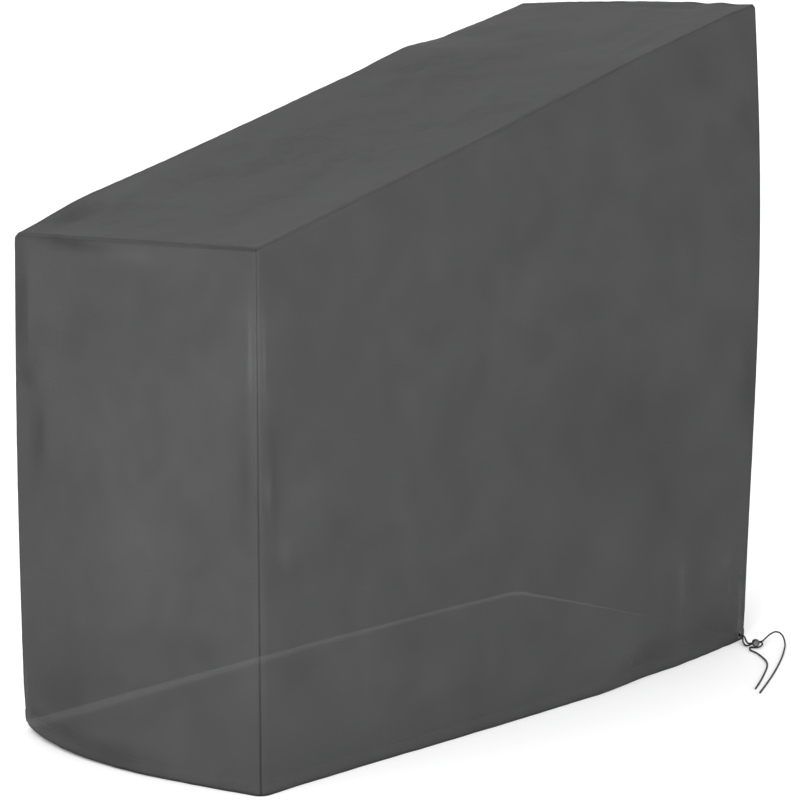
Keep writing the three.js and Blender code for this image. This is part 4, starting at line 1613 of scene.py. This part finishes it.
@dataclass
class HemStitching:
    """The row of lockstitches that holds the turned hem, as thread on the cloth's face.

    margin keeps the row off the corners and clear keeps it off the eyelet. sunk is the share of its
    thickness by which a stitch's middle lies under the cloth's face, and probe a short way up the
    cloth, which shows how the face is turned there.
    """

    finish: PlainFinish
    shape: CoverShape
    pitch: float = 0.0042
    length: float = 0.0031
    thread: float = 0.00045
    margin: float = 0.015
    clear: float = 0.009
    sunk: float = 0.25
    probe: float = 0.001

    def build(self) -> list[bpy.types.Object]:
        """Builds and declares one joined piece of stitches for each wall.

        Returns:
            The four pieces.
        """
        material = self.finish.material()
        made = []
        for panel, wall in WALLS.items():
            piece = self.row(f"hem_stitching_{panel.name.lower()}", wall, material)
            declare(piece)
            made.append(piece)
        return made

    def row(self, name: str, wall: Wall, material: bpy.types.Material) -> bpy.types.Object:
        """Lays stitches along one wall's hem.

        Args:
            name: The piece's name.
            wall: The wall.
            material: The thread.

        Returns:
            The joined stitches.
        """
        count = int((wall.run - 2 * self.margin) / self.pitch)
        margin = self.margin / wall.run
        share = np.repeat(np.linspace(margin, 1 - margin, count), 2)
        share[0::2] -= self.length / wall.run / 2
        share[1::2] += self.length / wall.run / 2
        height = self.shape.hem_height - self.shape.stitch_drop
        rise, zeros = np.array([height, height + self.probe]), np.zeros(2)
        lines = Lines(share, np.zeros(len(share)), rise, zeros, zeros)
        points = self.shape.wall_surface(wall, lines).points
        mesh = bmesh.new()
        for k in range(count):
            start, end = Vector(points[2 * k, 0]), Vector(points[2 * k + 1, 0])
            up = Vector(points[2 * k, 1]) - start
            middle = (start + end) / 2
            if (middle - Vector(EYELET_AT)).length < self.clear:
                continue
            run = (end - start).normalized()
            out = run.cross(up).normalized()
            turn = Matrix((run, out, run.cross(out))).transposed().to_4x4()
            size = Matrix.Diagonal((self.length, self.thread, self.thread, 1.0))
            place = Matrix.Translation(middle - out * self.thread * self.sunk) @ turn @ size
            bmesh.ops.create_cube(mesh, size=1.0, matrix=place)
        return to_object(mesh, name, material)


@dataclass
class Studio:
    """The camera, the pale floor and the soft light."""

    camera_at: Point = (-3.1601, -2.7881, 0.1566)
    yaw: float = 41.7311
    pitch: float = 8.8319
    focal_px: float = 2474.88
    frame_px: float = 801.0
    sensor: float = 36.0
    clip: Pair = (0.05, 200.0)
    floor_size: float = 60.0
    floor_drop: float = 0.0004
    floor_tones: Pair = (0.96, 0.98)
    floor_patches: float = 3.0
    floor_roughness: float = 0.8
    floor_specular: float = 0.1
    surround: float = 1.24
    key_at: Point = (-3.45, -2.05, 1.05)
    key_aim: Point = (0.0, 0.0, -0.35)
    key_size: float = 1.4
    key_power: float = 96.0

    def build(self) -> None:
        """Sets up the camera, the floor and the lights."""
        self.camera()
        self.floor()
        self.lights()

    def camera(self) -> None:
        """Puts the camera at the photograph's viewing angle."""
        data = bpy.data.cameras.new("camera")
        data.sensor_width = self.sensor
        data.lens = self.focal_px / self.frame_px * self.sensor
        data.clip_start, data.clip_end = self.clip
        camera = bpy.data.objects.new("camera", data)
        yaw, pitch = math.radians(self.yaw), math.radians(self.pitch)
        ahead = Vector((math.cos(yaw) * math.cos(pitch), math.sin(yaw) * math.cos(pitch), -math.sin(pitch)))
        camera.location = self.camera_at
        camera.rotation_euler = ahead.to_track_quat("-Z", "Y").to_euler()
        bpy.context.scene.collection.objects.link(camera)
        bpy.context.scene.camera = camera

    def floor(self) -> None:
        """Lays the pale floor just under the hem."""
        mesh = bmesh.new()
        bmesh.ops.create_grid(mesh, x_segments=1, y_segments=1, size=self.floor_size / 2)
        bmesh.ops.translate(mesh, verts=mesh.verts, vec=(0, 0, FLOOR - self.floor_drop))
        graph = Graph("pale_floor")
        patches = graph.noise(graph.place(), self.floor_patches)
        material = graph.material({
            "Base Color": graph.blend(patches, *map(grey, self.floor_tones)),
            "Roughness": self.floor_roughness,
            "Specular IOR Level": self.floor_specular,
        })
        to_object(mesh, "floor", material)

    def lights(self) -> None:
        """Lights the scene with a white surround and a large soft light from the left."""
        scene = bpy.context.scene
        scene.view_settings.view_transform = "Standard"
        graph = Graph("surround", bpy.data.worlds)
        white = graph.node("ShaderNodeBackground", None, {"Color": grey(1.0), "Strength": self.surround})
        scene.world = graph.finish(white, "ShaderNodeOutputWorld")
        data = bpy.data.lights.new("key_light", "AREA")
        data.shape = "DISK"
        data.size = self.key_size
        data.energy = self.key_power
        light = bpy.data.objects.new("key_light", data)
        light.location = self.key_at
        aim = Vector(self.key_aim) - Vector(self.key_at)
        light.rotation_euler = aim.to_track_quat("-Z", "Y").to_euler()
        scene.collection.objects.link(light)


def main() -> None:
    """Builds every sub-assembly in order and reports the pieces."""
    logging.basicConfig(level=logging.INFO, format="%(name)s: %(message)s")
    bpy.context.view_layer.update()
    Studio().build()
    hardware = Hardware(
        plastic=PlainFinish("lock_plastic", 0.028, 0.42),
        button=PlainFinish("button_plastic", 0.11, 0.45),
        metal=PlainFinish("eyelet_metal", 0.09, 0.45, metallic=0.9),
    )
    eyelet, *lock = hardware.build()
    ends = Drawstring(CordFinish()).build(lock)
    panels = ClothPanels(ClothFinish())
    sheets = panels.build()
    stitches = HemStitching(PlainFinish("hem_thread", 0.05, 0.7), panels.shape).build()
    for piece in [eyelet, *lock, *ends, *sheets, *stitches]:
        LOG.info("%s: %d faces", piece.name, len(piece.data.polygons))


if __name__ == "__main__":
    main()
